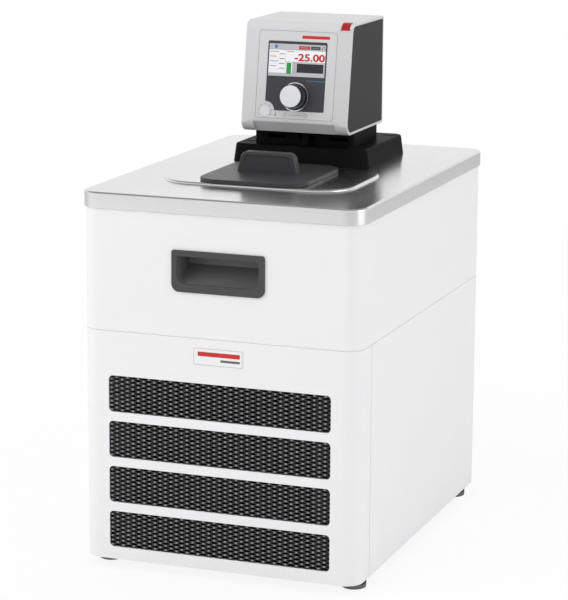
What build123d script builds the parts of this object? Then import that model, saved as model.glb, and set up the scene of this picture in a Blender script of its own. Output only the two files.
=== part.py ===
from build123d import *
import math
import os

# Refrigerated circulator: a cooled bath in a white sheet steel casing, with a drawn stainless deck,
# a lidded bath opening and a tilted control head that stands on a black bridge behind the lid.
# Millimetres, floor at z = 0, front face towards -Y, centred on X and Y.

os.makedirs("parts", exist_ok=True)

# Casing
BODY_W = 330
BODY_D = 470
LOWER_H = 267
UPPER_H = 138
CORNER_R = 20
SHEET = 1.5
SEAM = 1
FIT = 0.3
FRONT_WRAP = 41

# Feet and tray; SIDE and END are distances from the casing's outer faces
FOOT_H = 12
FOOT_R = 14
FOOT_CHAMFER = 1.5
FOOT_STEM_R = 4
FOOT_STEM_UP = 4
FOOT_SIDE = 17
FOOT_END = 40
TRAY_RIM_H = 8

# Chassis frame
POST_SIZE = 20
POST_SHEET = 2
POST_SIDE = 5
POST_END = 21
SHELF_DROP = 17
SHELF_RIM_H = 27

# Ventilation slots, and the white sheet left beside, below, above and between them
SLOT_SIDE = 32.6
SLOT_FOOT = 14.5
SLOT_HEAD = 51.9
SLOT_BAR = 10.6
SLOT_R = 5
SLOT_COUNT = 4

# Expanded metal behind the slots
MESH_SHEET = 1
MESH_MARGIN = 6
MESH_COLUMNS = 6
MESH_ROWS = 3
STRAND = 2.4

# Plate on the front panel
BADGE_W = 59
BADGE_H = 20
BADGE_T = 0.8
BADGE_R = 1.5
BADGE_DROP = 20.7

# Grips in the casing: the bezel, the opening in it and the tub behind
GRIP_W = 110
GRIP_H = 47
GRIP_LOW_R = 9
GRIP_TOP_R = 3
GRIP_DROP = 64
GRIP_PROUD = 2.5
GRIP_LAP = 2.5
GRIP_HOLE_R = 4
GRIP_EDGE_R = 1
GRIP_SIDE = 6.7
GRIP_RAIL = 16
GRIP_OPEN_RISE = 1.5
GRIP_OPEN_LOW_R = 10
GRIP_OPEN_TOP_R = 2
GRIP_DEPTH = 34
GRIP_WALL = 2
GRIP_RAMP_Y = 12
GRIP_RAMP_H = 4
GRIP_BACK_H = 17

# Deck: its lengths in front of the platform and behind the bridge, and the platform
SKIRT_H = 18
SKIRT_OVERHANG = 2
DECK_EDGE_R = 2.5
DECK_FRONT = 86
DECK_BACK = 61
PLATFORM_W = 230
PLATFORM_R = 45
PLATFORM_RISE = 2.5

# Bath opening in the platform, with the platform left round it
BATH_SIDE = 55
BATH_FRONT = 9
BATH_BACK = 25
BATH_OPEN_R = 14

# Bath tank and its foam jacket
TANK_W = 200
TANK_FRONT = 1
TANK_BACK = 14
TANK_R = 30
TANK_FLANGE = 22
FOAM_T = 18
FOAM_R = 12

# Lid: how far it laps over the opening, its rim and its grip
LID_LAP_SIDE = 5
LID_LAP_FRONT = 8
LID_LAP_BACK = 10
LID_R = 26
LID_T = 4.5
LID_EDGE_R = 1.4
LID_RIM_H = 7
LID_RIM_GAP = 1
LID_RIM_T = 2
LID_GRIP_X = -3
LID_GRIP_BACK = 4
LID_GRIP_W = 73
LID_GRIP_SLOPE = 3.5
LID_GRIP_D = 14
LID_GRIP_H = 22.5
LID_GRIP_R = 7
LID_FIELD_SIDE = 6
LID_FIELD_RAIL = 4
LID_FIELD_DEPTH = 0.8

# Bridge on the deck, its plugs, ports and inner plate
BRIDGE_W = 170
BRIDGE_D = 156
BRIDGE_GAP = 3
BRIDGE_H = 23
BRIDGE_DRAFT = 7.5
BRIDGE_R = 14
BRIDGE_EDGE_R = 2
BRIDGE_WALL = 4
BRIDGE_BORE_R = 22
PLUG_R = 6.5
PLUG_SUNK = 0.6
PLUG_SIDE = 15.5
PLUG_FRONT = 34
PLUG_BACK = 18
PLATE_MARGIN = 14
PLATE_T = 2
PLATE_LAP = 14
PORT_R = 8
PORT_SHANK_R = 8.8
PORT_BORE_R = 5
PORT_X = 24
PORT_INSIDE = 12
PORT_REACH = 14
PORT_CHAMFER = 1

# Neck and flow lever
NECK_SIDE = 23
NECK_FRONT = 20
NECK_BACK = 42
NECK_H = 17.5
NECK_R = 6
NECK_WALL = 4
NECK_SLOT_W = 24
NECK_SLOT_H = 4
NECK_SLOT_R = 1.6
NECK_SLOT_LEFT = 29
NECK_SLOT_RIGHT = 18
LEVER_X = 5
LEVER_SETBACK = 16
LEVER_POST_R = 5
LEVER_ARM_W = 6
LEVER_ARM_T = 3.6
LEVER_REACH = 6
LEVER_KNOB_W = 8
LEVER_KNOB_R = 2
LEVER_KNOB_LIFT = 1
LEVER_SWING = 20

# Control head
HEAD_W = 132
HEAD_H = 129.5
HEAD_REACH = 38
HEAD_OVERHANG = 5
FACE_TILT = 9.2
HEAD_LOW_R = 15
HEAD_TOP_R = 12
HEAD_BACK_R = 4
HEAD_WALL = 5
HEAD_EDGE_R = 1.2
CHEEK_W = 16.5
CHEEK_DROP = 1.6
BEVEL_LEG = 14
BEVEL_LAP = 1
SIDE_PANEL_T = 3
SIDE_PANEL_INSET = 3.4
COVER_SIDE = 8
COVER_END = 5.75
COVER_T = 2.5
COVER_R = 4
COVER_LIP = 4
COVER_SLOT_W = 70
COVER_SLOT_H = 3
COVER_SLOT_PITCH = 8
COVER_SLOT_COUNT = 5
COVER_SLOT_DROP = 36
SOCKET_R = 7
SOCKET_PROUD = 1
SOCKET_X = 30
SOCKET_RISE = 30

# Face of the head, heights measured up the tilted face from the head's lower front edge
MEMBRANE_SIDE = 1.5
MEMBRANE_FOOT = 4
MEMBRANE_HEAD = 9.5
MEMBRANE_R = 3
MEMBRANE_T = 1.2
PANEL_SIDE = 11.5
PANEL_FOOT = 9.05
PANEL_HEAD = 11.65
PANEL_T = 1.5
PANEL_R = 2
SCREEN_SIDE = 1.5
SCREEN_FOOT = 40.35
SCREEN_HEAD = 3.15
SCREEN_T = 1.3
WINDOW_LIP_X = 3
WINDOW_LIP_Y = 2
BOARD_SETBACK = 12
BOARD_MARGIN = 3
KNOB_RISE = 16.75
KNOB_R = 14.2
KNOB_TAPER = 0.3
KNOB_RIM = 1.1
KNOB_CAP_T = 1
KNOB_CAP_PROUD = 0.3
KNOB_CAP_CHAMFER = 0.25
KNOB_BOTTOM = 2
KNOB_TOP = 16
KNOB_HUB_R = 5
KNOB_WALL = 1.6
KNOB_PRESS = 1
ENCODER_SIZE = 14
ENCODER_FLOOR = 2
PANEL_BORE_GAP = 2
RING_GAP = 1.7
RING_T = 0.9
RING_RISE = 0.4
DIAL_IN = 0.5
DIAL_DROP = 1.05
DIAL_R = 6.5
DIAL_MARGIN = 5
DIAL_SLOT_W = 8
DIAL_SLOT_T = 1.4
DIAL_SLOT_DEPTH = 0.6
SWITCH_SIZE = 12
SWITCH_BORE = 2
ROD_R = 3
SHAFT_GAP = 0.06

# Red rocker on the top front edge of the head
ROCKER_SIDE = 9
ROCKER_W = 10
ROCKER_PROUD = 0.6
ROCKER_T = 4.4
ROCKER_GAP = 0.6
ROCKER_FACE_DROP = 6
ROCKER_TOP_L = 13
ROCKER_PIN_R = 1.2
ROCKER_PIN_IN = 2.5
ROCKER_PIN_OUT = 0.9
ROCKER_PIN_SETBACK = 5
ROCKER_PIN_DROP = 4.3
ROCKER_BORE_END = 1

# Drive, pump and sensors
MOTOR_R = 24
MOTOR_H = 78
MOTOR_CHAMFER = 3
SHAFT_R = 4
SHAFT_CLEAR = 2
SHAFT_INTO_MOTOR = 30
PUMP_TUBE_R = 12
PUMP_TUBE_WALL = 2.5
PUMP_R = 30
PUMP_H = 26
PUMP_WALL = 3
PUMP_LIFT = 14
PUMP_OUTLET_W = 12
PUMP_OUTLET_H = 10
IMPELLER_GAP = 3.5
IMPELLER_DISC_T = 2
VANE_COUNT = 6
VANE_T = 2
VANE_GAP = 1
HEATER_R = 3.5
HEATER_X = 30
HEATER_REACH = 40
HEATER_BEND_R = 14
PROBE_X = -38
PROBE_SPREAD = 25
COIL_R = 5
COIL_SIDE = 40
COIL_END = 20
COIL_BEND_R = 14
FLOAT_R = 9
FLOAT_H = 20
FLOAT_STEM_L = 52
FLOAT_STOP_T = 2

# Cooling: condenser, shroud and fan
CONDENSER_SIDE = 16
CONDENSER_D = 36
CONDENSER_SETBACK = 13
CONDENSER_HEAD = 16.5
FIN_PITCH = 13
FIN_GAP = 8
FIN_DEPTH = 12
FAN_R = 76
FAN_GAP = 4
SHROUD_T = 2
SHROUD_COLLAR = 26
FAN_HUB_R = 18
FAN_HUB_D = 14
BLADE_COUNT = 5
BLADE_T = 2.5
BLADE_CHORD = 17
BLADE_PITCH = 24
BLADE_ROOT = 2
FAN_MOTOR_R = 23
FAN_MOTOR_D = 40
FAN_SHAFT_R = 3
ARM_W = 12
ARM_T = 3

# Compressor and electrics box on the tray
COMPRESSOR_SIDE = 36
COMPRESSOR_GAP = 80
COMPRESSOR_R = 50
COMPRESSOR_H = 132
COMPRESSOR_DOME_R = 30
COMPRESSOR_FOOT_T = 3
COMPRESSOR_FOOT_R = 10
GROMMET_R = 9
GROMMET_H = 8
GROMMET_SPREAD = 96
GROMMET_LAP = 10
BOX_SIDE = 20
BOX_GAP = 33
BOX_W = 84
BOX_D = 110
BOX_H = 92
BOX_CHAMFER = 3

# Rear panel: louvres, mains inlet and the pocket with the drain tap
LOUVRE_H = 6
LOUVRE_R = 2
LOUVRE_SIDE = 25
LOUVRE_GAP = 12
LOUVRE_PITCH = 13
LOUVRE_ROWS = 8
LOUVRE_DROP = 88
INLET_SIDE = 39
INLET_RISE = 54
INLET_W = 52
INLET_H = 30
INLET_FLANGE_T = 2
INLET_FLANGE_R = 3
INLET_OPEN_W = 28
INLET_OPEN_H = 20
INLET_WALL = 3
INLET_DEPTH = 24
INLET_PIN_W = 2
INLET_PIN_H = 6
INLET_PIN_PITCH = 9
INLET_PIN_SHORT = 8
DRAIN_SIDE = 73
DRAIN_RISE = 48
DRAIN_BACK = 40
DRAIN_R = 6
DRAIN_BORE_R = 4.5
DRAIN_BEND_R = 24
POCKET_W = 60
POCKET_H = 44
POCKET_D = 32
POCKET_R = 5
POCKET_SHIFT = 10
POCKET_RISE = 3
TAP_R = 9
TAP_BACK = 6
TAP_PROUD = 2
TAP_NOZZLE_R = 6.5
TAP_NOZZLE_L = 10
TAP_STEM_IN = 14
TAP_BOSS_R = 5
TAP_BOSS_FOOT = 1
TAP_BOSS_RISE = 3
TAP_STEM_R = 2
TAP_STEM_DEPTH = 4
TAP_LEVER_L = 26
TAP_LEVER_W = 7
TAP_LEVER_T = 3
TAP_LEVER_LIFT = 4

# Casing heights and places that follow
HALF_W = BODY_W / 2
HALF_D = BODY_D / 2
INSET = SHEET + FIT
BASE_Z = FOOT_H
FLOOR_Z = BASE_Z + SHEET
SEAM_Z = BASE_Z + LOWER_H
PANEL_TOP_Z = SEAM_Z - SEAM
SKIRT_Z = SEAM_Z + UPPER_H
DECK_Z = SKIRT_Z + SKIRT_H
DECK_UNDER_Z = DECK_Z - SHEET
PLATFORM_Z = DECK_Z + PLATFORM_RISE
FOOT_X = HALF_W - FOOT_SIDE
FOOT_Y = HALF_D - FOOT_END
POST_X = HALF_W - POST_SIDE
POST_Y = HALF_D - POST_END
SHELF_Z = SEAM_Z - SHELF_DROP
SHELF_TOP_Z = SHELF_Z + SHEET
SLOT_W = BODY_W - 2 * SLOT_SIDE
SLOT_H = (LOWER_H - SLOT_FOOT - SLOT_HEAD + SLOT_BAR) / SLOT_COUNT - SLOT_BAR
SLOT_ZS = [BASE_Z + SLOT_FOOT + SLOT_H / 2 + i * (SLOT_H + SLOT_BAR) for i in range(SLOT_COUNT)]
GRIP_Z = SKIRT_Z - GRIP_DROP
GRIP_OPEN_W = GRIP_W - 2 * GRIP_SIDE
GRIP_OPEN_H = GRIP_H - GRIP_RAIL
REAR_HALF_W = HALF_W - FRONT_WRAP - SEAM

# Platform, bath opening, lid, bridge and neck along the deck
BRIDGE_BACK_Y = HALF_D - DECK_BACK
BRIDGE_FRONT_Y = BRIDGE_BACK_Y - BRIDGE_D
BRIDGE_MID_Y = (BRIDGE_FRONT_Y + BRIDGE_BACK_Y) / 2
BRIDGE_TOP_Z = DECK_Z + BRIDGE_H
PLUG_SPOTS = [
    (PLUG_SIDE - BRIDGE_W / 2, BRIDGE_FRONT_Y + PLUG_FRONT),
    (BRIDGE_W / 2 - PLUG_SIDE, BRIDGE_BACK_Y - PLUG_BACK),
]
PLATE_W = BRIDGE_W - 2 * PLATE_MARGIN
PLATE_D = BRIDGE_D - 2 * PLATE_MARGIN
PORT_Z = DECK_Z + BRIDGE_H / 2
PLATFORM_FRONT_Y = DECK_FRONT - HALF_D
PLATFORM_BACK_Y = BRIDGE_FRONT_Y - BRIDGE_GAP
PLATFORM_MID_Y = (PLATFORM_FRONT_Y + PLATFORM_BACK_Y) / 2
PLATFORM_D = PLATFORM_BACK_Y - PLATFORM_FRONT_Y
PLATFORM_CORNER_R = min(PLATFORM_R, PLATFORM_D / 2 - SHEET)
BATH_OPEN_W = PLATFORM_W - 2 * BATH_SIDE
BATH_OPEN_FRONT_Y = PLATFORM_FRONT_Y + BATH_FRONT
BATH_OPEN_BACK_Y = PLATFORM_BACK_Y - BATH_BACK
BATH_OPEN_D = BATH_OPEN_BACK_Y - BATH_OPEN_FRONT_Y
BATH_MID_Y = (BATH_OPEN_FRONT_Y + BATH_OPEN_BACK_Y) / 2
TANK_FRONT_Y = PLATFORM_FRONT_Y - TANK_FRONT
TANK_BACK_Y = BRIDGE_BACK_Y - TANK_BACK
TANK_MID_Y = (TANK_FRONT_Y + TANK_BACK_Y) / 2
TANK_D = TANK_BACK_Y - TANK_FRONT_Y
TANK_Z = SHELF_TOP_Z + FOAM_T
TANK_FLOOR_Z = TANK_Z + SHEET
LID_W = BATH_OPEN_W + 2 * LID_LAP_SIDE
LID_D = BATH_OPEN_D + LID_LAP_FRONT + LID_LAP_BACK
LID_MID_Y = BATH_MID_Y + (LID_LAP_BACK - LID_LAP_FRONT) / 2
LID_TOP_Z = PLATFORM_Z + LID_T
LID_GRIP_Y = LID_MID_Y + LID_GRIP_BACK
LID_GRIP_TOP_W = LID_GRIP_W - 2 * LID_GRIP_SLOPE
NECK_W = BRIDGE_W - 2 * NECK_SIDE
NECK_FRONT_Y = BRIDGE_FRONT_Y + NECK_FRONT
NECK_D = BRIDGE_D - NECK_FRONT - NECK_BACK
NECK_MID_Y = NECK_FRONT_Y + NECK_D / 2
NECK_SLOT_XS = (NECK_SLOT_LEFT - NECK_W / 2, NECK_W / 2 - NECK_SLOT_RIGHT)
MOTOR_Y = NECK_MID_Y

# Control head and the places on its face
HEAD_Z = BRIDGE_TOP_Z + NECK_H
HEAD_TOP_Z = HEAD_Z + HEAD_H
HEAD_MID_Z = HEAD_Z + HEAD_H / 2
HEAD_FRONT_Y = NECK_FRONT_Y - HEAD_REACH
HEAD_BACK_Y = NECK_FRONT_Y + NECK_D + HEAD_OVERHANG
TILT_SIN = math.sin(math.radians(FACE_TILT))
TILT_COS = math.cos(math.radians(FACE_TILT))
HEAD_TOP_FRONT_Y = HEAD_FRONT_Y + HEAD_H * TILT_SIN / TILT_COS
CHEEK_X = HEAD_W / 2 - CHEEK_W
COVER_W = HEAD_W - 2 * COVER_SIDE
COVER_H = HEAD_H - 2 * COVER_END
MEMBRANE_LOW = BEVEL_LEG + MEMBRANE_FOOT
MEMBRANE_W = 2 * (CHEEK_X - MEMBRANE_SIDE)
MEMBRANE_H = HEAD_H - MEMBRANE_LOW - MEMBRANE_HEAD
MEMBRANE_MID = MEMBRANE_LOW + MEMBRANE_H / 2
PANEL_LOW = MEMBRANE_LOW + PANEL_FOOT
PANEL_W = MEMBRANE_W - 2 * PANEL_SIDE
PANEL_H = MEMBRANE_H - PANEL_FOOT - PANEL_HEAD
PANEL_MID = PANEL_LOW + PANEL_H / 2
SCREEN_W = PANEL_W - 2 * SCREEN_SIDE
SCREEN_H = PANEL_H - SCREEN_FOOT - SCREEN_HEAD
SCREEN_MID = PANEL_LOW + SCREEN_FOOT + SCREEN_H / 2
WINDOW_W = SCREEN_W - 2 * WINDOW_LIP_X
WINDOW_H = SCREEN_H - 2 * WINDOW_LIP_Y
KNOB_MID = PANEL_LOW + KNOB_RISE
KNOB_TOP_R = KNOB_R - KNOB_TAPER
KNOB_CAP_R = KNOB_R - KNOB_RIM
RING_R = KNOB_R + RING_GAP + RING_T
DIAL_X = DIAL_IN - PANEL_W / 2
DIAL_MID = PANEL_LOW - DIAL_DROP
PANEL_BITE_R = DIAL_R + DIAL_MARGIN
ROCKER_X = HEAD_W / 2 - ROCKER_SIDE
ROCKER_LOW = HEAD_H - ROCKER_FACE_DROP
ROCKER_BACK_Y = HEAD_TOP_FRONT_Y + ROCKER_TOP_L
ROCKER_PIN_Y = HEAD_TOP_FRONT_Y + ROCKER_PIN_SETBACK
ROCKER_PIN_Z = HEAD_TOP_Z - ROCKER_PIN_DROP

# Pump, cooling and rear fittings
PUMP_Z = TANK_FLOOR_Z + 2 * COIL_R + PUMP_LIFT
PUMP_TOP_Z = PUMP_Z + PUMP_H
IMPELLER_R = PUMP_R - PUMP_WALL - IMPELLER_GAP
IMPELLER_H = PUMP_H - 2 * PUMP_WALL - 2 * IMPELLER_GAP
IMPELLER_Z = PUMP_Z + PUMP_WALL + IMPELLER_GAP
CONDENSER_W = 2 * (POST_X - POST_SIZE - CONDENSER_SIDE)
CONDENSER_H = SHELF_Z - FLOOR_Z - CONDENSER_HEAD
CONDENSER_FRONT_Y = CONDENSER_SETBACK - HALF_D
SHROUD_Y = CONDENSER_FRONT_Y + CONDENSER_D
FAN_Y = SHROUD_Y + SHROUD_T + SHROUD_COLLAR / 2
FAN_Z = FLOOR_Z + CONDENSER_H / 2
FAN_MOTOR_Y = SHROUD_Y + SHROUD_T + SHROUD_COLLAR
FAN_MOTOR_BACK_Y = FAN_MOTOR_Y + FAN_MOTOR_D
COMPRESSOR_FOOT = GROMMET_SPREAD + 2 * GROMMET_LAP
COMPRESSOR_X = COMPRESSOR_SIDE + COMPRESSOR_FOOT / 2 - HALF_W
COMPRESSOR_Y = FAN_MOTOR_BACK_Y + COMPRESSOR_GAP + COMPRESSOR_FOOT / 2
COMPRESSOR_Z = FLOOR_Z + GROMMET_H
BOX_X = HALF_W - BOX_SIDE - BOX_W / 2
BOX_Y = FAN_MOTOR_BACK_Y + BOX_GAP + BOX_D / 2
LOUVRE_W = REAR_HALF_W - LOUVRE_SIDE - LOUVRE_GAP / 2
LOUVRE_Z = PANEL_TOP_Z - LOUVRE_DROP
INLET_X = INLET_SIDE - REAR_HALF_W
INLET_Z = BASE_Z + INLET_RISE
DRAIN_X = REAR_HALF_W - DRAIN_SIDE
DRAIN_Y = TANK_BACK_Y - DRAIN_BACK
DRAIN_Z = BASE_Z + DRAIN_RISE
POCKET_X = DRAIN_X + POCKET_SHIFT
POCKET_Z = DRAIN_Z + POCKET_RISE
POCKET_FLOOR_Y = HALF_D - POCKET_D
TAP_START_Y = POCKET_FLOOR_Y - TAP_BACK
TAP_END_Y = HALF_D + TAP_PROUD
TAP_STEM_Y = HALF_D - TAP_STEM_IN

FACE = Plane(origin=(0, HEAD_FRONT_Y, HEAD_Z), x_dir=(1, 0, 0), z_dir=(0, -TILT_COS, TILT_SIN))


def front_plane(y):
    """Upright plane at depth y, seen from the front: local x is X, local y is Z."""
    return Plane(origin=(0, y, 0), x_dir=(1, 0, 0), z_dir=(0, -1, 0))


def rear_plane(y):
    """Upright plane at depth y, seen from behind: local x is -X, local y is Z."""
    return Plane(origin=(0, y, 0), x_dir=(-1, 0, 0), z_dir=(0, 1, 0))


def casing_wall(inset, wall):
    """Hollow rounded outline of the casing: a wall that starts inset from the outer face."""
    RectangleRounded(BODY_W - 2 * inset, BODY_D - 2 * inset, CORNER_R - inset)
    inner = inset + wall
    RectangleRounded(BODY_W - 2 * inner, BODY_D - 2 * inner, CORNER_R - inner, mode=Mode.SUBTRACT)


# Base tray: folded sheet with an upturned rim all round
with BuildPart() as base_tray:
    with BuildSketch(Plane.XY.offset(BASE_Z)):
        RectangleRounded(BODY_W - 2 * INSET, BODY_D - 2 * INSET, CORNER_R - INSET)
    extrude(amount=SHEET)
    with BuildSketch(Plane.XY.offset(BASE_Z)):
        casing_wall(INSET, SHEET)
    extrude(amount=TRAY_RIM_H)
    with BuildSketch(Plane.XY.offset(BASE_Z)):
        with GridLocations(2 * FOOT_X, 2 * FOOT_Y, 2, 2):
            Circle(FOOT_STEM_R + FIT / 2)
    extrude(amount=SHEET, mode=Mode.SUBTRACT)
base_tray.part.label = "base_tray"
export_step(base_tray.part, "parts/base_tray.step")

# Four moulded feet, each with a stem through the tray
with BuildPart() as feet:
    with BuildSketch(Plane.XY):
        with GridLocations(2 * FOOT_X, 2 * FOOT_Y, 2, 2):
            Circle(FOOT_R)
    extrude(amount=FOOT_H)
    chamfer(feet.edges().group_by(Axis.Z)[0], FOOT_CHAMFER)
    with BuildSketch(Plane.XY.offset(FOOT_H)):
        with GridLocations(2 * FOOT_X, 2 * FOOT_Y, 2, 2):
            Circle(FOOT_STEM_R)
    extrude(amount=SHEET + FOOT_STEM_UP)
feet.part.label = "feet"
export_step(feet.part, "parts/feet.step")

# Chassis frame: four angle posts that carry the shelf under the bath
with BuildPart() as chassis_frame:
    with BuildSketch(Plane.XY.offset(FLOOR_Z)):
        for side_x in (-1, 1):
            for side_y in (-1, 1):
                with Locations((side_x * (POST_X - POST_SIZE / 2), side_y * (POST_Y - POST_SHEET / 2))):
                    Rectangle(POST_SIZE, POST_SHEET)
                with Locations((side_x * (POST_X - POST_SHEET / 2), side_y * (POST_Y - POST_SIZE / 2))):
                    Rectangle(POST_SHEET, POST_SIZE)
    extrude(amount=SHELF_Z - FLOOR_Z)
    with BuildSketch(Plane.XY.offset(SHELF_Z)):
        RectangleRounded(BODY_W - 2 * INSET, BODY_D - 2 * INSET, CORNER_R - INSET)
    extrude(amount=SHEET)
    with BuildSketch(Plane.XY.offset(SHELF_Z)):
        casing_wall(INSET, SHEET)
    extrude(amount=SHELF_RIM_H)
    with BuildSketch(Plane.XY.offset(SHELF_Z)):
        with Locations((DRAIN_X, DRAIN_Y)):
            Circle(DRAIN_R + FIT)
    extrude(amount=SHEET, mode=Mode.SUBTRACT)
chassis_frame.part.label = "chassis_frame"
export_step(chassis_frame.part, "parts/chassis_frame.step")

# Front panel: one folded sheet round both front corners, with the four ventilation slots
with BuildPart() as front_vent_panel:
    with BuildSketch(Plane.XY.offset(BASE_Z)):
        casing_wall(0, SHEET)
        with Locations((0, -HALF_D + FRONT_WRAP / 2)):
            Rectangle(BODY_W, FRONT_WRAP, mode=Mode.INTERSECT)
    extrude(amount=PANEL_TOP_Z - BASE_Z)
    with BuildSketch(front_plane(-HALF_D)):
        with Locations(*[(0, z) for z in SLOT_ZS]):
            RectangleRounded(SLOT_W, SLOT_H, SLOT_R)
    extrude(amount=-SHEET, mode=Mode.SUBTRACT)
front_vent_panel.part.label = "front_vent_panel"
export_step(front_vent_panel.part, "parts/front_vent_panel.step")

# Expanded metal sheet behind the slots, with staggered diamond openings
mesh_pitch_x = SLOT_W / MESH_COLUMNS
mesh_pitch_z = SLOT_H / (MESH_ROWS - 0.5)
diamond_x = (mesh_pitch_x - 2 * STRAND) / 2
diamond_z = (mesh_pitch_z - STRAND) / 2
with BuildPart() as vent_mesh:
    with BuildSketch(front_plane(-HALF_D + SHEET)):
        with Locations((0, (SLOT_ZS[0] + SLOT_ZS[-1]) / 2)):
            Rectangle(SLOT_W + 2 * MESH_MARGIN, SLOT_ZS[-1] - SLOT_ZS[0] + SLOT_H + 2 * MESH_MARGIN)
        for z in SLOT_ZS:
            for columns, rows in ((MESH_COLUMNS, MESH_ROWS), (MESH_COLUMNS - 1, MESH_ROWS - 1)):
                with Locations((0, z)):
                    with GridLocations(mesh_pitch_x, mesh_pitch_z, columns, rows):
                        Polygon(
                            (-diamond_x, 0), (0, -diamond_z), (diamond_x, 0), (0, diamond_z),
                            mode=Mode.SUBTRACT,
                        )
    extrude(amount=-MESH_SHEET)
vent_mesh.part.label = "vent_mesh"
export_step(vent_mesh.part, "parts/vent_mesh.step")

# Small plate on the front panel
with BuildPart() as badge_plate:
    with BuildSketch(front_plane(-HALF_D)):
        with Locations((0, SEAM_Z - BADGE_DROP)):
            RectangleRounded(BADGE_W, BADGE_H, BADGE_R)
    extrude(amount=BADGE_T)
badge_plate.part.label = "badge_plate"
export_step(badge_plate.part, "parts/badge_plate.step")

# Lower side panels: each runs back from the front panel's edge and round its rear corner
side_panel_front_y = -HALF_D + FRONT_WRAP + SEAM
side_panel_d = HALF_D - side_panel_front_y
with BuildPart() as side_panel_right:
    with BuildSketch(Plane.XY.offset(BASE_Z)):
        casing_wall(0, SHEET)
        with Locations((HALF_W - FRONT_WRAP / 2, HALF_D - side_panel_d / 2)):
            Rectangle(FRONT_WRAP, side_panel_d, mode=Mode.INTERSECT)
    extrude(amount=PANEL_TOP_Z - BASE_Z)
side_panel_right.part.label = "side_panel_right"
export_step(side_panel_right.part, "parts/side_panel_right.step")

with BuildPart() as side_panel_left:
    mirror(side_panel_right.part, about=Plane.YZ)
side_panel_left.part.label = "side_panel_left"
export_step(side_panel_left.part, "parts/side_panel_left.step")

# Rear panel between the two side panels, with louvres, inlet cut-out and a drawn pocket for the tap
inlet_body_w = INLET_OPEN_W + 2 * INLET_WALL
inlet_body_h = INLET_OPEN_H + 2 * INLET_WALL
with BuildPart() as rear_panel:
    with BuildSketch(rear_plane(HALF_D - SHEET)):
        with Locations((0, (BASE_Z + PANEL_TOP_Z) / 2)):
            Rectangle(2 * REAR_HALF_W, PANEL_TOP_Z - BASE_Z)
        with Locations((0, LOUVRE_Z)):
            with GridLocations(LOUVRE_W + LOUVRE_GAP, LOUVRE_PITCH, 2, LOUVRE_ROWS):
                RectangleRounded(LOUVRE_W, LOUVRE_H, LOUVRE_R, mode=Mode.SUBTRACT)
        with Locations((-INLET_X, INLET_Z)):
            Rectangle(inlet_body_w + 2 * FIT, inlet_body_h + 2 * FIT, mode=Mode.SUBTRACT)
    extrude(amount=SHEET)
    with BuildSketch(rear_plane(POCKET_FLOOR_Y)):
        with Locations((-POCKET_X, POCKET_Z)):
            RectangleRounded(POCKET_W + 2 * SHEET, POCKET_H + 2 * SHEET, POCKET_R + SHEET)
    extrude(amount=POCKET_D - SHEET)
    with BuildSketch(rear_plane(POCKET_FLOOR_Y + SHEET)):
        with Locations((-POCKET_X, POCKET_Z)):
            RectangleRounded(POCKET_W, POCKET_H, POCKET_R)
    extrude(amount=POCKET_D - SHEET, mode=Mode.SUBTRACT)
    with BuildSketch(rear_plane(POCKET_FLOOR_Y)):
        with Locations((-DRAIN_X, DRAIN_Z)):
            Circle(TAP_R + FIT)
    extrude(amount=SHEET, mode=Mode.SUBTRACT)
rear_panel.part.label = "rear_panel"
export_step(rear_panel.part, "parts/rear_panel.step")

# Upper casing band with a rounded hole for each grip, which the grip's bezel laps all round
with BuildPart() as upper_casing:
    with BuildSketch(Plane.XY.offset(SEAM_Z)):
        casing_wall(0, SHEET)
    extrude(amount=DECK_UNDER_Z - SEAM_Z)
    with BuildSketch(front_plane(-HALF_D)):
        with Locations((0, GRIP_Z)):
            RectangleRounded(GRIP_W - 2 * GRIP_LAP, GRIP_H - 2 * GRIP_LAP, GRIP_HOLE_R)
    extrude(amount=-BODY_D, mode=Mode.SUBTRACT)
upper_casing.part.label = "upper_casing"
export_step(upper_casing.part, "parts/upper_casing.step")

# Recessed grip: a bezel on the casing and a tub whose floor slopes back and up to the rear wall
with BuildPart() as front_grip:
    with BuildSketch(front_plane(-HALF_D)) as grip_bezel:
        with Locations((0, GRIP_Z)):
            Rectangle(GRIP_W, GRIP_H)
        fillet(grip_bezel.vertices().group_by(Axis.Y)[0], GRIP_LOW_R)
        fillet(grip_bezel.vertices().group_by(Axis.Y)[-1], GRIP_TOP_R)
    extrude(amount=GRIP_PROUD)
    fillet(front_grip.faces().sort_by(Axis.Y)[0].edges(), GRIP_EDGE_R)
    with BuildSketch(front_plane(-HALF_D)):
        with Locations((0, GRIP_Z + GRIP_OPEN_RISE)):
            Rectangle(GRIP_OPEN_W + 2 * GRIP_WALL, GRIP_OPEN_H + 2 * GRIP_WALL)
    extrude(amount=-GRIP_DEPTH - GRIP_WALL)
    with BuildSketch(front_plane(-HALF_D - GRIP_PROUD)) as grip_mouth:
        with Locations((0, GRIP_Z + GRIP_OPEN_RISE)):
            Rectangle(GRIP_OPEN_W, GRIP_OPEN_H)
        fillet(grip_mouth.vertices().group_by(Axis.Y)[0], GRIP_OPEN_LOW_R)
        fillet(grip_mouth.vertices().group_by(Axis.Y)[-1], GRIP_OPEN_TOP_R)
    extrude(amount=-GRIP_DEPTH - GRIP_PROUD, mode=Mode.SUBTRACT)
    grip_floor_z = GRIP_Z + GRIP_OPEN_RISE - GRIP_OPEN_H / 2
    with BuildSketch(Plane.YZ):
        Polygon(
            (-HALF_D + GRIP_WALL / 2, grip_floor_z - GRIP_WALL / 2),
            (-HALF_D + GRIP_DEPTH + GRIP_WALL / 2, grip_floor_z - GRIP_WALL / 2),
            (-HALF_D + GRIP_DEPTH + GRIP_WALL / 2, grip_floor_z + GRIP_BACK_H),
            (-HALF_D + GRIP_RAMP_Y, grip_floor_z + GRIP_RAMP_H),
            align=None,
        )
    extrude(amount=(GRIP_OPEN_W + GRIP_WALL) / 2, both=True)
front_grip.part.label = "front_grip"
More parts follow.
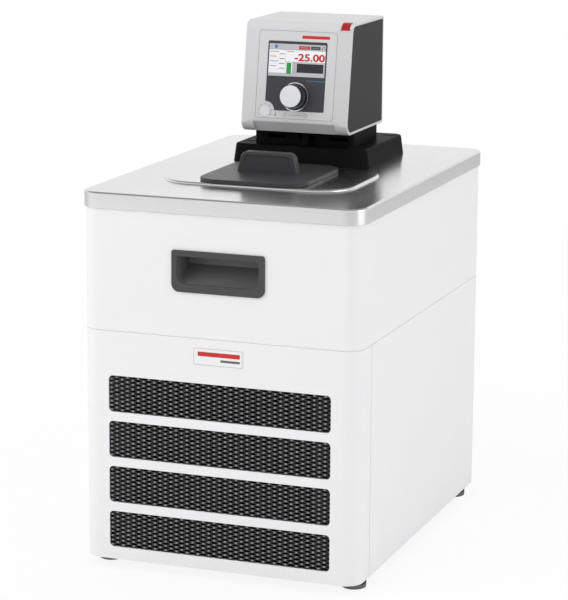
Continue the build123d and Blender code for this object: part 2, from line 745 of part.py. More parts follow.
export_step(front_grip.part, "parts/front_grip.step")

with BuildPart() as rear_grip:
    mirror(front_grip.part, about=Plane.XZ)
rear_grip.part.label = "rear_grip"
export_step(rear_grip.part, "parts/rear_grip.step")

# Deck: drawn sheet with a turned-down skirt, a raised platform and two openings
with BuildPart() as deck_plate:
    with BuildSketch(Plane.XY.offset(SKIRT_Z)):
        RectangleRounded(
            BODY_W + 2 * SKIRT_OVERHANG, BODY_D + 2 * SKIRT_OVERHANG, CORNER_R + SKIRT_OVERHANG
        )
    extrude(amount=SKIRT_H)
    fillet(deck_plate.faces().sort_by(Axis.Z)[-1].edges(), DECK_EDGE_R)
    with BuildSketch(Plane.XY.offset(DECK_Z)):
        with Locations((0, PLATFORM_MID_Y)):
            RectangleRounded(PLATFORM_W, PLATFORM_D, PLATFORM_CORNER_R)
    extrude(amount=PLATFORM_RISE)
    fillet(deck_plate.faces().sort_by(Axis.Z)[-1].edges(), SHEET)
    with BuildSketch(Plane.XY.offset(SKIRT_Z)):
        skirt_inner = SKIRT_OVERHANG - SHEET
        RectangleRounded(BODY_W + 2 * skirt_inner, BODY_D + 2 * skirt_inner, CORNER_R + skirt_inner)
    extrude(amount=SKIRT_H - SHEET, mode=Mode.SUBTRACT)
    with BuildSketch(Plane.XY.offset(DECK_UNDER_Z)):
        with Locations((0, PLATFORM_MID_Y)):
            RectangleRounded(
                PLATFORM_W - 2 * SHEET, PLATFORM_D - 2 * SHEET, PLATFORM_CORNER_R - SHEET
            )
    extrude(amount=PLATFORM_RISE, mode=Mode.SUBTRACT)
    with BuildSketch(Plane.XY.offset(DECK_UNDER_Z)):
        with Locations((0, BATH_MID_Y)):
            RectangleRounded(BATH_OPEN_W, BATH_OPEN_D, BATH_OPEN_R)
        with Locations((0, BRIDGE_MID_Y)):
            RectangleRounded(PLATE_W - 2 * PLATE_LAP, PLATE_D - 2 * PLATE_LAP, BATH_OPEN_R)
    extrude(amount=PLATFORM_RISE + SHEET, mode=Mode.SUBTRACT)
deck_plate.part.label = "deck_plate"
export_step(deck_plate.part, "parts/deck_plate.step")

# Bath tank: deep-drawn stainless tank with a flange under the deck and a drain hole
with BuildPart() as bath_tank:
    with BuildSketch(Plane.XY.offset(TANK_Z)):
        with Locations((0, TANK_MID_Y)):
            RectangleRounded(TANK_W, TANK_D, TANK_R)
    extrude(amount=DECK_UNDER_Z - TANK_Z)
    with BuildSketch(Plane.XY.offset(DECK_UNDER_Z - SHEET)):
        with Locations((0, TANK_MID_Y)):
            RectangleRounded(TANK_W + 2 * TANK_FLANGE, TANK_D + 2 * TANK_FLANGE, TANK_R)
    extrude(amount=SHEET)
    with BuildSketch(Plane.XY.offset(TANK_FLOOR_Z)):
        with Locations((0, TANK_MID_Y)):
            RectangleRounded(TANK_W - 2 * SHEET, TANK_D - 2 * SHEET, TANK_R - SHEET)
    extrude(amount=DECK_UNDER_Z - TANK_FLOOR_Z, mode=Mode.SUBTRACT)
    with BuildSketch(Plane.XY.offset(TANK_Z)):
        with Locations((DRAIN_X, DRAIN_Y)):
            Circle(DRAIN_BORE_R)
    extrude(amount=SHEET, mode=Mode.SUBTRACT)
bath_tank.part.label = "bath_tank"
export_step(bath_tank.part, "parts/bath_tank.step")

# Foam jacket round the tank
with BuildPart() as tank_insulation:
    with BuildSketch(Plane.XY.offset(SHELF_TOP_Z)):
        with Locations((0, TANK_MID_Y)):
            RectangleRounded(TANK_W + 2 * FOAM_T, TANK_D + 2 * FOAM_T, FOAM_R)
    extrude(amount=DECK_UNDER_Z - SHEET - SHELF_TOP_Z)
    with BuildSketch(Plane.XY.offset(TANK_Z)):
        with Locations((0, TANK_MID_Y)):
            RectangleRounded(TANK_W + 2 * FIT, TANK_D + 2 * FIT, TANK_R + FIT)
    extrude(amount=DECK_UNDER_Z - TANK_Z, mode=Mode.SUBTRACT)
    with BuildSketch(Plane.XY.offset(SHELF_TOP_Z)):
        with Locations((DRAIN_X, DRAIN_Y)):
            Circle(DRAIN_R + FIT)
    extrude(amount=FOAM_T, mode=Mode.SUBTRACT)
tank_insulation.part.label = "tank_insulation"
export_step(tank_insulation.part, "parts/tank_insulation.step")

# Bath lid: rounded plate with a rim that drops into the opening
lid_rim_w = BATH_OPEN_W - 2 * LID_RIM_GAP
lid_rim_d = BATH_OPEN_D - 2 * LID_RIM_GAP
lid_rim_r = BATH_OPEN_R - LID_RIM_GAP
with BuildPart() as bath_lid:
    with BuildSketch(Plane.XY.offset(PLATFORM_Z)):
        with Locations((0, LID_MID_Y)):
            RectangleRounded(LID_W, LID_D, LID_R)
    extrude(amount=LID_T)
    fillet(bath_lid.faces().sort_by(Axis.Z)[-1].edges(), LID_EDGE_R)
    with BuildSketch(Plane.XY.offset(PLATFORM_Z)):
        with Locations((0, BATH_MID_Y)):
            RectangleRounded(lid_rim_w, lid_rim_d, lid_rim_r)
            RectangleRounded(
                lid_rim_w - 2 * LID_RIM_T, lid_rim_d - 2 * LID_RIM_T, lid_rim_r - LID_RIM_T,
                mode=Mode.SUBTRACT,
            )
    extrude(amount=-LID_RIM_H)
bath_lid.part.label = "bath_lid"
export_step(bath_lid.part, "parts/bath_lid.step")

# Lid grip: upright moulded bar with rounded shoulders and a shallow field in each long face
with BuildPart() as lid_grip:
    with BuildSketch(front_plane(LID_GRIP_Y - LID_GRIP_D / 2)) as grip_outline:
        with Locations((LID_GRIP_X, LID_TOP_Z + LID_GRIP_H / 2)):
            Polygon(
                (-LID_GRIP_W / 2, -LID_GRIP_H / 2),
                (LID_GRIP_W / 2, -LID_GRIP_H / 2),
                (LID_GRIP_TOP_W / 2, LID_GRIP_H / 2),
                (-LID_GRIP_TOP_W / 2, LID_GRIP_H / 2),
                align=None,
            )
        fillet(grip_outline.vertices().group_by(Axis.Y)[-1], LID_GRIP_R)
    extrude(amount=-LID_GRIP_D)
    for end in (0, -1):
        with BuildSketch(Plane(lid_grip.faces().sort_by(Axis.Y)[end])) as grip_field:
            Polygon(
                (-LID_GRIP_W / 2 + LID_FIELD_SIDE, -LID_GRIP_H / 2 + LID_FIELD_RAIL),
                (LID_GRIP_W / 2 - LID_FIELD_SIDE, -LID_GRIP_H / 2 + LID_FIELD_RAIL),
                (LID_GRIP_TOP_W / 2 - LID_FIELD_SIDE, LID_GRIP_H / 2 - LID_FIELD_RAIL),
                (-LID_GRIP_TOP_W / 2 + LID_FIELD_SIDE, LID_GRIP_H / 2 - LID_FIELD_RAIL),
            )
        extrude(amount=-LID_FIELD_DEPTH, mode=Mode.SUBTRACT)
lid_grip.part.label = "lid_grip"
export_step(lid_grip.part, "parts/lid_grip.step")

# Bridge: hollow black moulding with drafted sides that covers the pump opening
with BuildPart() as bridge:
    with BuildSketch(Plane.XY.offset(DECK_Z)):
        with Locations((0, BRIDGE_MID_Y)):
            RectangleRounded(BRIDGE_W, BRIDGE_D, BRIDGE_R)
    extrude(amount=BRIDGE_H, taper=BRIDGE_DRAFT)
    fillet(bridge.faces().sort_by(Axis.Z)[-1].edges(), BRIDGE_EDGE_R)
    with BuildSketch(Plane.XY.offset(DECK_Z)):
        with Locations((0, BRIDGE_MID_Y)):
            RectangleRounded(
                BRIDGE_W - 2 * BRIDGE_WALL, BRIDGE_D - 2 * BRIDGE_WALL, BRIDGE_R - BRIDGE_WALL
            )
    extrude(amount=BRIDGE_H - BRIDGE_WALL, taper=BRIDGE_DRAFT, mode=Mode.SUBTRACT)
    with BuildSketch(Plane.XY.offset(BRIDGE_TOP_Z - BRIDGE_WALL)):
        with Locations(*PLUG_SPOTS):
            Circle(PLUG_R)
        with Locations((0, MOTOR_Y)):
            Circle(BRIDGE_BORE_R)
    extrude(amount=BRIDGE_WALL, mode=Mode.SUBTRACT)
    with BuildSketch(rear_plane(BRIDGE_BACK_Y)):
        with Locations((PORT_X, PORT_Z), (-PORT_X, PORT_Z)):
            Circle(PORT_SHANK_R + FIT / 2)
    extrude(amount=-PORT_INSIDE - FIT, mode=Mode.SUBTRACT)
bridge.part.label = "bridge"
export_step(bridge.part, "parts/bridge.step")

# Cover plugs in the bridge
with BuildPart() as bridge_plugs:
    with BuildSketch(Plane.XY.offset(BRIDGE_TOP_Z - BRIDGE_WALL)):
        with Locations(*PLUG_SPOTS):
            Circle(PLUG_R - FIT / 2)
    extrude(amount=BRIDGE_WALL - PLUG_SUNK)
bridge_plugs.part.label = "bridge_plugs"
export_step(bridge_plugs.part, "parts/bridge_plugs.step")

# Stainless bridge plate: covers the pump opening and carries all that hangs in the bath
with BuildPart() as bridge_plate:
    with BuildSketch(Plane.XY.offset(DECK_Z)):
        with Locations((0, BRIDGE_MID_Y)):
            RectangleRounded(PLATE_W, PLATE_D, BRIDGE_R)
        with Locations((0, MOTOR_Y)):
            Circle(PUMP_TUBE_R - PUMP_TUBE_WALL, mode=Mode.SUBTRACT)
    extrude(amount=PLATE_T)
bridge_plate.part.label = "bridge_plate"
export_step(bridge_plate.part, "parts/bridge_plate.step")

# Two pump ports: a shank through the rear wall of the bridge, a threaded stub behind it and a bore
with BuildPart() as pump_ports:
    with BuildSketch(rear_plane(BRIDGE_BACK_Y - PORT_INSIDE)):
        with Locations((PORT_X, PORT_Z), (-PORT_X, PORT_Z)):
            Circle(PORT_SHANK_R)
    extrude(amount=PORT_INSIDE)
    with BuildSketch(rear_plane(BRIDGE_BACK_Y)):
        with Locations((PORT_X, PORT_Z), (-PORT_X, PORT_Z)):
            Circle(PORT_R)
    extrude(amount=PORT_REACH)
    chamfer(pump_ports.edges().group_by(Axis.Y)[-1], PORT_CHAMFER)
    with BuildSketch(rear_plane(BRIDGE_BACK_Y - PORT_INSIDE)):
        with Locations((PORT_X, PORT_Z), (-PORT_X, PORT_Z)):
            Circle(PORT_BORE_R)
    extrude(amount=PORT_INSIDE + PORT_REACH, mode=Mode.SUBTRACT)
pump_ports.part.label = "pump_ports"
export_step(pump_ports.part, "parts/pump_ports.step")

# Neck: open tube between bridge and head, with two slots and the lever's slot in its front
lever_turn = math.radians(LEVER_SWING)
lever_arm_half_w = LEVER_ARM_W / 2 / math.cos(lever_turn)
lever_slot_w = 2 * (LEVER_SETBACK * math.tan(lever_turn) + lever_arm_half_w + 2 * FIT)
with BuildPart() as neck:
    with BuildSketch(Plane.XY.offset(BRIDGE_TOP_Z)):
        with Locations((0, NECK_MID_Y)):
            RectangleRounded(NECK_W, NECK_D, NECK_R)
            RectangleRounded(
                NECK_W - 2 * NECK_WALL, NECK_D - 2 * NECK_WALL, NECK_R - NECK_WALL,
                mode=Mode.SUBTRACT,
            )
    extrude(amount=NECK_H)
    with BuildSketch(front_plane(NECK_FRONT_Y)):
        with Locations(*[(x, BRIDGE_TOP_Z + NECK_H / 2) for x in NECK_SLOT_XS]):
            RectangleRounded(NECK_SLOT_W, NECK_SLOT_H, NECK_SLOT_R)
        with Locations((LEVER_X, BRIDGE_TOP_Z + NECK_H / 2)):
            Rectangle(lever_slot_w, LEVER_ARM_T + 4 * FIT)
    extrude(amount=-NECK_WALL, mode=Mode.SUBTRACT)
neck.part.label = "neck"
export_step(neck.part, "parts/neck.step")

# Flow lever: a pivot post inside the neck, an arm through the slot and a knob in front of it
with BuildPart() as flow_lever:
    with BuildSketch(Plane.XY.offset(BRIDGE_TOP_Z + FIT)):
        with Locations((LEVER_X, NECK_FRONT_Y + LEVER_SETBACK)):
            Circle(LEVER_POST_R)
    extrude(amount=NECK_H - 2 * FIT)
    with BuildSketch(Plane.XY.offset(BRIDGE_TOP_Z + (NECK_H - LEVER_ARM_T) / 2)):
        with Locations((LEVER_X, NECK_FRONT_Y + (LEVER_SETBACK - LEVER_REACH) / 2)):
            Rectangle(LEVER_ARM_W, LEVER_SETBACK + LEVER_REACH)
    extrude(amount=LEVER_ARM_T)
    with BuildSketch(Plane.XY.offset(BRIDGE_TOP_Z + LEVER_KNOB_LIFT)):
        with Locations((LEVER_X, NECK_FRONT_Y - LEVER_REACH)):
            RectangleRounded(LEVER_KNOB_W, LEVER_REACH, LEVER_KNOB_R)
    extrude(amount=NECK_H - 3 * LEVER_KNOB_LIFT)
flow_lever.part.label = "flow_lever"
export_step(flow_lever.part, "parts/flow_lever.step")

# Side outline of the control head, used by its shell, side panels and rocker
with BuildSketch(Plane.YZ) as head_outline:
    Polygon(
        (HEAD_FRONT_Y, HEAD_Z),
        (HEAD_BACK_Y, HEAD_Z),
        (HEAD_BACK_Y, HEAD_TOP_Z),
        (HEAD_TOP_FRONT_Y, HEAD_TOP_Z),
        align=None,
    )
    fillet(head_outline.vertices().sort_by(Axis.X)[0], HEAD_LOW_R)
    fillet(head_outline.vertices().group_by(Axis.X)[-1], HEAD_BACK_R)
    fillet(head_outline.vertices().group_by(Axis.Y)[-1].sort_by(Axis.X)[0], HEAD_TOP_R)


def head_section(grow):
    """The head's side outline, grown outwards, or inwards where grow is negative."""
    return offset(head_outline.sketch_local, amount=grow, mode=Mode.PRIVATE)


# Region of the rocker at the top front edge: below it the face, behind it the flat top
rocker_low_y = HEAD_FRONT_Y + ROCKER_LOW * TILT_SIN
rocker_low_z = HEAD_Z + ROCKER_LOW * TILT_COS


def rocker_region(gap):
    """Corner of the side outline that the rocker fills, grown by a gap at both of its ends."""
    low = Vector(rocker_low_y, rocker_low_z) - Vector(TILT_SIN, TILT_COS) * gap
    inward = Vector(TILT_COS, -TILT_SIN) * 2 * HEAD_WALL
    outward = Vector(TILT_COS, -TILT_SIN) * -HEAD_WALL
    return Polygon(
        (low.X + inward.X, low.Y + inward.Y),
        (low.X + outward.X, low.Y + outward.Y),
        (low.X - HEAD_WALL, HEAD_TOP_Z + HEAD_WALL),
        (ROCKER_BACK_Y + gap, HEAD_TOP_Z + HEAD_WALL),
        (ROCKER_BACK_Y + gap, HEAD_TOP_Z - 2 * HEAD_WALL),
        align=None,
        mode=Mode.PRIVATE,
    )


# Head shell: wraps the front, top, bottom and back, and is open at both sides
with BuildPart() as head_shell:
    with BuildSketch(Plane.YZ):
        add(head_section(0))
    extrude(amount=HEAD_W / 2, both=True)
    with BuildSketch(Plane(FACE.origin, x_dir=(1, 0, 0), z_dir=(0, TILT_SIN, TILT_COS))):
        for side in (-1, 1):
            Polygon(
                (side * CHEEK_X, -HEAD_WALL),
                (side * HEAD_W, -HEAD_WALL),
                (side * HEAD_W, CHEEK_DROP * (HEAD_W - CHEEK_X) / CHEEK_W),
                (side * CHEEK_X, 0),
                align=None,
            )
    extrude(amount=HEAD_H + HEAD_TOP_FRONT_Y - HEAD_FRONT_Y, mode=Mode.SUBTRACT)
    fillet(head_shell.faces().sort_by(Axis.X)[0].edges(), HEAD_EDGE_R)
    fillet(head_shell.faces().sort_by(Axis.X)[-1].edges(), HEAD_EDGE_R)
    with BuildSketch(Plane.YZ):
        Polygon(
            (HEAD_FRONT_Y - HEAD_WALL, HEAD_Z - HEAD_WALL),
            (HEAD_FRONT_Y + BEVEL_LEG, HEAD_Z - HEAD_WALL),
            (HEAD_FRONT_Y + BEVEL_LEG, HEAD_Z),
            (HEAD_FRONT_Y + BEVEL_LEG * TILT_SIN, HEAD_Z + BEVEL_LEG * TILT_COS),
            (HEAD_FRONT_Y - HEAD_WALL, HEAD_Z + BEVEL_LEG),
            align=None,
        )
    extrude(amount=CHEEK_X + BEVEL_LAP, both=True, mode=Mode.SUBTRACT)
    with BuildSketch(Plane.YZ):
        add(head_section(-HEAD_WALL))
    extrude(amount=HEAD_W, both=True, mode=Mode.SUBTRACT)
    with BuildSketch(Plane.YZ.offset(HEAD_W / 2 - SIDE_PANEL_T), Plane.YZ.offset(-HEAD_W / 2)):
        add(head_section(-SIDE_PANEL_INSET))
    extrude(amount=SIDE_PANEL_T, mode=Mode.SUBTRACT)
    # Pocket for the membrane, window for the display and bores for knob and dial
    with BuildSketch(FACE):
        with Locations((0, MEMBRANE_MID)):
            RectangleRounded(MEMBRANE_W + 2 * FIT, MEMBRANE_H + 2 * FIT, MEMBRANE_R)
    extrude(amount=-MEMBRANE_T, mode=Mode.SUBTRACT)
    with BuildSketch(FACE):
        with Locations((0, SCREEN_MID)):
            Rectangle(WINDOW_W + 2 * FIT, WINDOW_H + 2 * FIT)
        with Locations((0, KNOB_MID)):
            Circle(ROD_R + SHAFT_GAP)
        with Locations((DIAL_X, DIAL_MID)):
            Circle(ROD_R + SHAFT_GAP)
    extrude(amount=-HEAD_WALL, mode=Mode.SUBTRACT)
    # Opening for the rocker with its pivot hole
    with BuildSketch(Plane.YZ.offset(ROCKER_X - ROCKER_W / 2 - FIT)):
        add(rocker_region(ROCKER_GAP))
    extrude(amount=ROCKER_W + 2 * FIT, mode=Mode.SUBTRACT)
    with BuildSketch(Plane.YZ.offset(ROCKER_X - ROCKER_W / 2 - ROCKER_PIN_IN - FIT)):
        with Locations((ROCKER_PIN_Y, ROCKER_PIN_Z)):
            Circle(ROCKER_PIN_R + SHAFT_GAP)
    extrude(amount=ROCKER_W + ROCKER_PIN_IN + ROCKER_BORE_END + FIT, mode=Mode.SUBTRACT)
    # Rear cover seat and the shaft hole in the floor
    with BuildSketch(rear_plane(HEAD_BACK_Y)):
        with Locations((0, HEAD_MID_Z)):
            RectangleRounded(COVER_W + 2 * FIT, COVER_H + 2 * FIT, COVER_R)
    extrude(amount=-COVER_T, mode=Mode.SUBTRACT)
    with BuildSketch(rear_plane(HEAD_BACK_Y)):
        with Locations((0, HEAD_MID_Z)):
            RectangleRounded(COVER_W - 2 * COVER_LIP, COVER_H - 2 * COVER_LIP, COVER_R)
    extrude(amount=-HEAD_WALL, mode=Mode.SUBTRACT)
    with BuildSketch(Plane.XY.offset(HEAD_Z)):
        with Locations((0, MOTOR_Y)):
            Circle(SHAFT_R + SHAFT_CLEAR)
    extrude(amount=HEAD_WALL, mode=Mode.SUBTRACT)
head_shell.part.label = "head_shell"
export_step(head_shell.part, "parts/head_shell.step")

# Dark side panels let into the shell
with BuildPart() as head_side_right:
    with BuildSketch(Plane.YZ.offset(HEAD_W / 2 - SIDE_PANEL_T)):
        add(head_section(-SIDE_PANEL_INSET - FIT / 2))
    extrude(amount=SIDE_PANEL_T)
head_side_right.part.label = "head_side_right"
export_step(head_side_right.part, "parts/head_side_right.step")

with BuildPart() as head_side_left:
    mirror(head_side_right.part, about=Plane.YZ)
head_side_left.part.label = "head_side_left"
export_step(head_side_left.part, "parts/head_side_left.step")

# Rear cover with vents and two round socket caps
with BuildPart() as head_rear_cover:
    with BuildSketch(rear_plane(HEAD_BACK_Y - COVER_T)):
        with Locations((0, HEAD_MID_Z)):
            RectangleRounded(COVER_W, COVER_H, COVER_R)
        with Locations((0, HEAD_TOP_Z - COVER_SLOT_DROP)):
            with GridLocations(0, COVER_SLOT_PITCH, 1, COVER_SLOT_COUNT):
                SlotOverall(COVER_SLOT_W, COVER_SLOT_H, mode=Mode.SUBTRACT)
    extrude(amount=COVER_T)
    with BuildSketch(rear_plane(HEAD_BACK_Y)):
        with Locations((-SOCKET_X, HEAD_Z + SOCKET_RISE), (SOCKET_X, HEAD_Z + SOCKET_RISE)):
            Circle(SOCKET_R)
    extrude(amount=SOCKET_PROUD)
head_rear_cover.part.label = "head_rear_cover"
export_step(head_rear_cover.part, "parts/head_rear_cover.step")

# Face plate round the dark panel, with a quarter round at the cut-off dial


def panel_shape(grow):
    """Outline of the dark panel: a rounded rectangle with its lower left corner bitten off."""
    RectangleRounded(PANEL_W + 2 * grow, PANEL_H + 2 * grow, PANEL_R)


with BuildPart() as face_plate:
    with BuildSketch(FACE.offset(-MEMBRANE_T)):
        with Locations((0, MEMBRANE_MID)):
            RectangleRounded(MEMBRANE_W, MEMBRANE_H, MEMBRANE_R)
        with BuildSketch(mode=Mode.SUBTRACT) as face_window:
            with Locations((0, PANEL_MID)):
                panel_shape(FIT / 2)
            with Locations((DIAL_X, DIAL_MID)):
                Circle(PANEL_BITE_R - FIT / 2, mode=Mode.SUBTRACT)
        with Locations((DIAL_X, DIAL_MID)):
            Circle(DIAL_R + FIT, mode=Mode.SUBTRACT)
    extrude(amount=MEMBRANE_T)
face_plate.part.label = "face_plate"
export_step(face_plate.part, "parts/face_plate.step")

# Dark panel with the screen window and the knob hole
with BuildPart() as display_panel:
    with BuildSketch(FACE.offset(-MEMBRANE_T)):
        with Locations((0, PANEL_MID)):
            panel_shape(-FIT / 2)
        with Locations((DIAL_X, DIAL_MID)):
            Circle(PANEL_BITE_R + FIT / 2, mode=Mode.SUBTRACT)
        with Locations((0, SCREEN_MID)):
            Rectangle(SCREEN_W, SCREEN_H, mode=Mode.SUBTRACT)
        with Locations((0, KNOB_MID)):
            Circle(ROD_R + PANEL_BORE_GAP, mode=Mode.SUBTRACT)
    extrude(amount=PANEL_T)
display_panel.part.label = "display_panel"
export_step(display_panel.part, "parts/display_panel.step")

# Screen glass
with BuildPart() as display_screen:
    with BuildSketch(FACE.offset(-MEMBRANE_T)):
        with Locations((0, SCREEN_MID)):
            Rectangle(SCREEN_W - FIT, SCREEN_H - FIT)
    extrude(amount=SCREEN_T)
display_screen.part.label = "display_screen"
export_step(display_screen.part, "parts/display_screen.step")

# Circuit board behind the shell with the display unit that reaches through the shell's window
with BuildPart() as display_board:
    with BuildSketch(FACE.offset(-BOARD_SETBACK - SHEET)):
        with Locations((0, MEMBRANE_MID)):
            Rectangle(MEMBRANE_W, MEMBRANE_H - 2 * BOARD_MARGIN)
    extrude(amount=SHEET)
    with BuildSketch(FACE.offset(-BOARD_SETBACK)):
        with Locations((0, SCREEN_MID)):
            Rectangle(WINDOW_W, WINDOW_H)
    extrude(amount=BOARD_SETBACK - MEMBRANE_T)
display_board.part.label = "display_board"
export_step(display_board.part, "parts/display_board.step")

# Thin ring round the knob
with BuildPart() as knob_ring:
    with BuildSketch(FACE.offset(PANEL_T - MEMBRANE_T)):
        with Locations((0, KNOB_MID)):
            Circle(RING_R)
            Circle(RING_R - RING_T, mode=Mode.SUBTRACT)
    extrude(amount=RING_RISE)
knob_ring.part.label = "knob_ring"
export_step(knob_ring.part, "parts/knob_ring.step")

# Encoder body behind the shell, its sprung plunger, the knob that turns on it and the knob's cap
plunger_top = KNOB_TOP - KNOB_CAP_T - KNOB_WALL
with BuildPart() as encoder_body:
    with BuildSketch(FACE.offset(-BOARD_SETBACK)):
        with Locations((0, KNOB_MID)):
            Rectangle(ENCODER_SIZE, ENCODER_SIZE)
    extrude(amount=BOARD_SETBACK - HEAD_WALL)
    with BuildSketch(FACE.offset(-HEAD_WALL)):
        with Locations((0, KNOB_MID)):
            Circle(ROD_R + SHAFT_GAP)
    extrude(amount=ENCODER_FLOOR + HEAD_WALL - BOARD_SETBACK, mode=Mode.SUBTRACT)
encoder_body.part.label = "encoder_body"
export_step(encoder_body.part, "parts/encoder_body.step")

plunger_foot = ENCODER_FLOOR + KNOB_PRESS + FIT - BOARD_SETBACK
with BuildPart() as encoder_plunger:
    with BuildSketch(FACE.offset(plunger_foot)):
        with Locations((0, KNOB_MID)):
            Circle(ROD_R)
    extrude(amount=plunger_top - FIT - plunger_foot)
encoder_plunger.part.label = "encoder_plunger"
export_step(encoder_plunger.part, "parts/encoder_plunger.step")

with BuildPart() as control_knob:
    with BuildSketch(FACE.offset(KNOB_BOTTOM)):
        with Locations((0, KNOB_MID)):
            Circle(KNOB_R)
    with BuildSketch(FACE.offset(KNOB_TOP)):
        with Locations((0, KNOB_MID)):
            Circle(KNOB_TOP_R)
    loft()
    with BuildSketch(FACE.offset(KNOB_TOP)):
        with Locations((0, KNOB_MID)):
            Circle(KNOB_CAP_R + FIT / 2)
    extrude(amount=-KNOB_CAP_T, mode=Mode.SUBTRACT)
    with BuildSketch(FACE.offset(KNOB_BOTTOM)):
        with Locations((0, KNOB_MID)):
            Circle(KNOB_TOP_R - KNOB_WALL)
            Circle(KNOB_HUB_R, mode=Mode.SUBTRACT)
            Circle(ROD_R + SHAFT_GAP)
    extrude(amount=plunger_top - KNOB_BOTTOM, mode=Mode.SUBTRACT)
control_knob.part.label = "control_knob"
export_step(control_knob.part, "parts/control_knob.step")

with BuildPart() as knob_cap:
    with BuildSketch(FACE.offset(KNOB_TOP - KNOB_CAP_T)):
        with Locations((0, KNOB_MID)):
            Circle(KNOB_CAP_R)
    extrude(amount=KNOB_CAP_T + KNOB_CAP_PROUD)
    chamfer(knob_cap.faces().sort_by(Axis.Y)[0].edges(), KNOB_CAP_CHAMFER)
knob_cap.part.label = "knob_cap"
export_step(knob_cap.part, "parts/knob_cap.step")

# Cut-off dial with a screwdriver slot, and the switch body behind it
with BuildPart() as cutoff_dial:
    with BuildSketch(FACE.offset(-MEMBRANE_T + FIT)):
        with Locations((DIAL_X, DIAL_MID)):
            Circle(DIAL_R)
    extrude(amount=MEMBRANE_T)
    with BuildSketch(FACE.offset(-MEMBRANE_T + FIT)):
        with Locations((DIAL_X, DIAL_MID)):
            Circle(ROD_R)
    extrude(amount=-HEAD_WALL)
    with BuildSketch(FACE.offset(FIT)):
        with Locations((DIAL_X, DIAL_MID)):
            Rectangle(DIAL_SLOT_W, DIAL_SLOT_T)
    extrude(amount=-DIAL_SLOT_DEPTH, mode=Mode.SUBTRACT)
cutoff_dial.part.label = "cutoff_dial"
export_step(cutoff_dial.part, "parts/cutoff_dial.step")

with BuildPart() as cutoff_switch:
    with BuildSketch(FACE.offset(-BOARD_SETBACK)):
        with Locations((DIAL_X, DIAL_MID)):
            Rectangle(SWITCH_SIZE, SWITCH_SIZE)
    extrude(amount=BOARD_SETBACK - HEAD_WALL)
    with BuildSketch(FACE.offset(-HEAD_WALL)):
        with Locations((DIAL_X, DIAL_MID)):
            Circle(ROD_R + SHAFT_GAP)
    extrude(amount=-SWITCH_BORE, mode=Mode.SUBTRACT)
cutoff_switch.part.label = "cutoff_switch"
export_step(cutoff_switch.part, "parts/cutoff_switch.step")

# Red rocker that wraps the top front edge and pivots on two short pins
with BuildPart() as power_rocker:
    with BuildSketch(Plane.YZ.offset(ROCKER_X - ROCKER_W / 2)):
        add(head_section(ROCKER_PROUD))
        add(head_section(-ROCKER_T), mode=Mode.SUBTRACT)
        add(rocker_region(0), mode=Mode.INTERSECT)
    extrude(amount=ROCKER_W)
    with BuildSketch(Plane.YZ.offset(ROCKER_X - ROCKER_W / 2 - ROCKER_PIN_IN)):
        with Locations((ROCKER_PIN_Y, ROCKER_PIN_Z)):
            Circle(ROCKER_PIN_R)
    extrude(amount=ROCKER_W + ROCKER_PIN_IN + ROCKER_PIN_OUT)
power_rocker.part.label = "power_rocker"
export_step(power_rocker.part, "parts/power_rocker.step")

# Pump motor in the head, standing on the shell's floor
motor_z = HEAD_Z + HEAD_WALL
with BuildPart() as pump_motor:
    with BuildSketch(Plane.XY.offset(motor_z)):
        with Locations((0, MOTOR_Y)):
            Circle(MOTOR_R)
    extrude(amount=MOTOR_H)
    chamfer(pump_motor.edges().group_by(Axis.Z)[-1], MOTOR_CHAMFER)
    with BuildSketch(Plane.XY.offset(motor_z)):
        with Locations((0, MOTOR_Y)):
            Circle(SHAFT_R + SHAFT_GAP)
    extrude(amount=SHAFT_INTO_MOTOR + FIT, mode=Mode.SUBTRACT)
pump_motor.part.label = "pump_motor"
export_step(pump_motor.part, "parts/pump_motor.step")

# Pump tube hanging from the bridge plate, with the pump housing at its foot
with BuildPart() as pump_tube:
    with BuildSketch(Plane.XY.offset(PUMP_TOP_Z)):
        with Locations((0, MOTOR_Y)):
            Circle(PUMP_TUBE_R)
            Circle(PUMP_TUBE_R - PUMP_TUBE_WALL, mode=Mode.SUBTRACT)
    extrude(amount=DECK_Z - PUMP_TOP_Z)
pump_tube.part.label = "pump_tube"
export_step(pump_tube.part, "parts/pump_tube.step")

with BuildPart() as pump_housing:
    with BuildSketch(Plane.XY.offset(PUMP_Z)):
        with Locations((0, MOTOR_Y)):
            Circle(PUMP_R)
    extrude(amount=PUMP_H)
    with BuildSketch(Plane.XY.offset(PUMP_Z + PUMP_WALL)):
        with Locations((0, MOTOR_Y)):
            Circle(PUMP_R - PUMP_WALL)
    extrude(amount=PUMP_H - 2 * PUMP_WALL, mode=Mode.SUBTRACT)
    with BuildSketch(Plane.XY.offset(PUMP_Z)):
        with Locations((0, MOTOR_Y)):
            Circle(PUMP_TUBE_R - PUMP_TUBE_WALL)
    extrude(amount=PUMP_H, mode=Mode.SUBTRACT)
    with BuildSketch(front_plane(MOTOR_Y - PUMP_R)):
        with Locations((0, PUMP_Z + PUMP_H / 2)):
            Rectangle(PUMP_OUTLET_W, PUMP_OUTLET_H)
    extrude(amount=-2 * PUMP_WALL, mode=Mode.SUBTRACT)
pump_housing.part.label = "pump_housing"
export_step(pump_housing.part, "parts/pump_housing.step")

# Pump shaft from the motor down to the impeller
with BuildPart() as pump_shaft:
    with BuildSketch(Plane.XY.offset(IMPELLER_Z + IMPELLER_H)):
        with Locations((0, MOTOR_Y)):
            Circle(SHAFT_R)
    extrude(amount=motor_z + SHAFT_INTO_MOTOR - IMPELLER_Z - IMPELLER_H)
pump_shaft.part.label = "pump_shaft"
export_step(pump_shaft.part, "parts/pump_shaft.step")

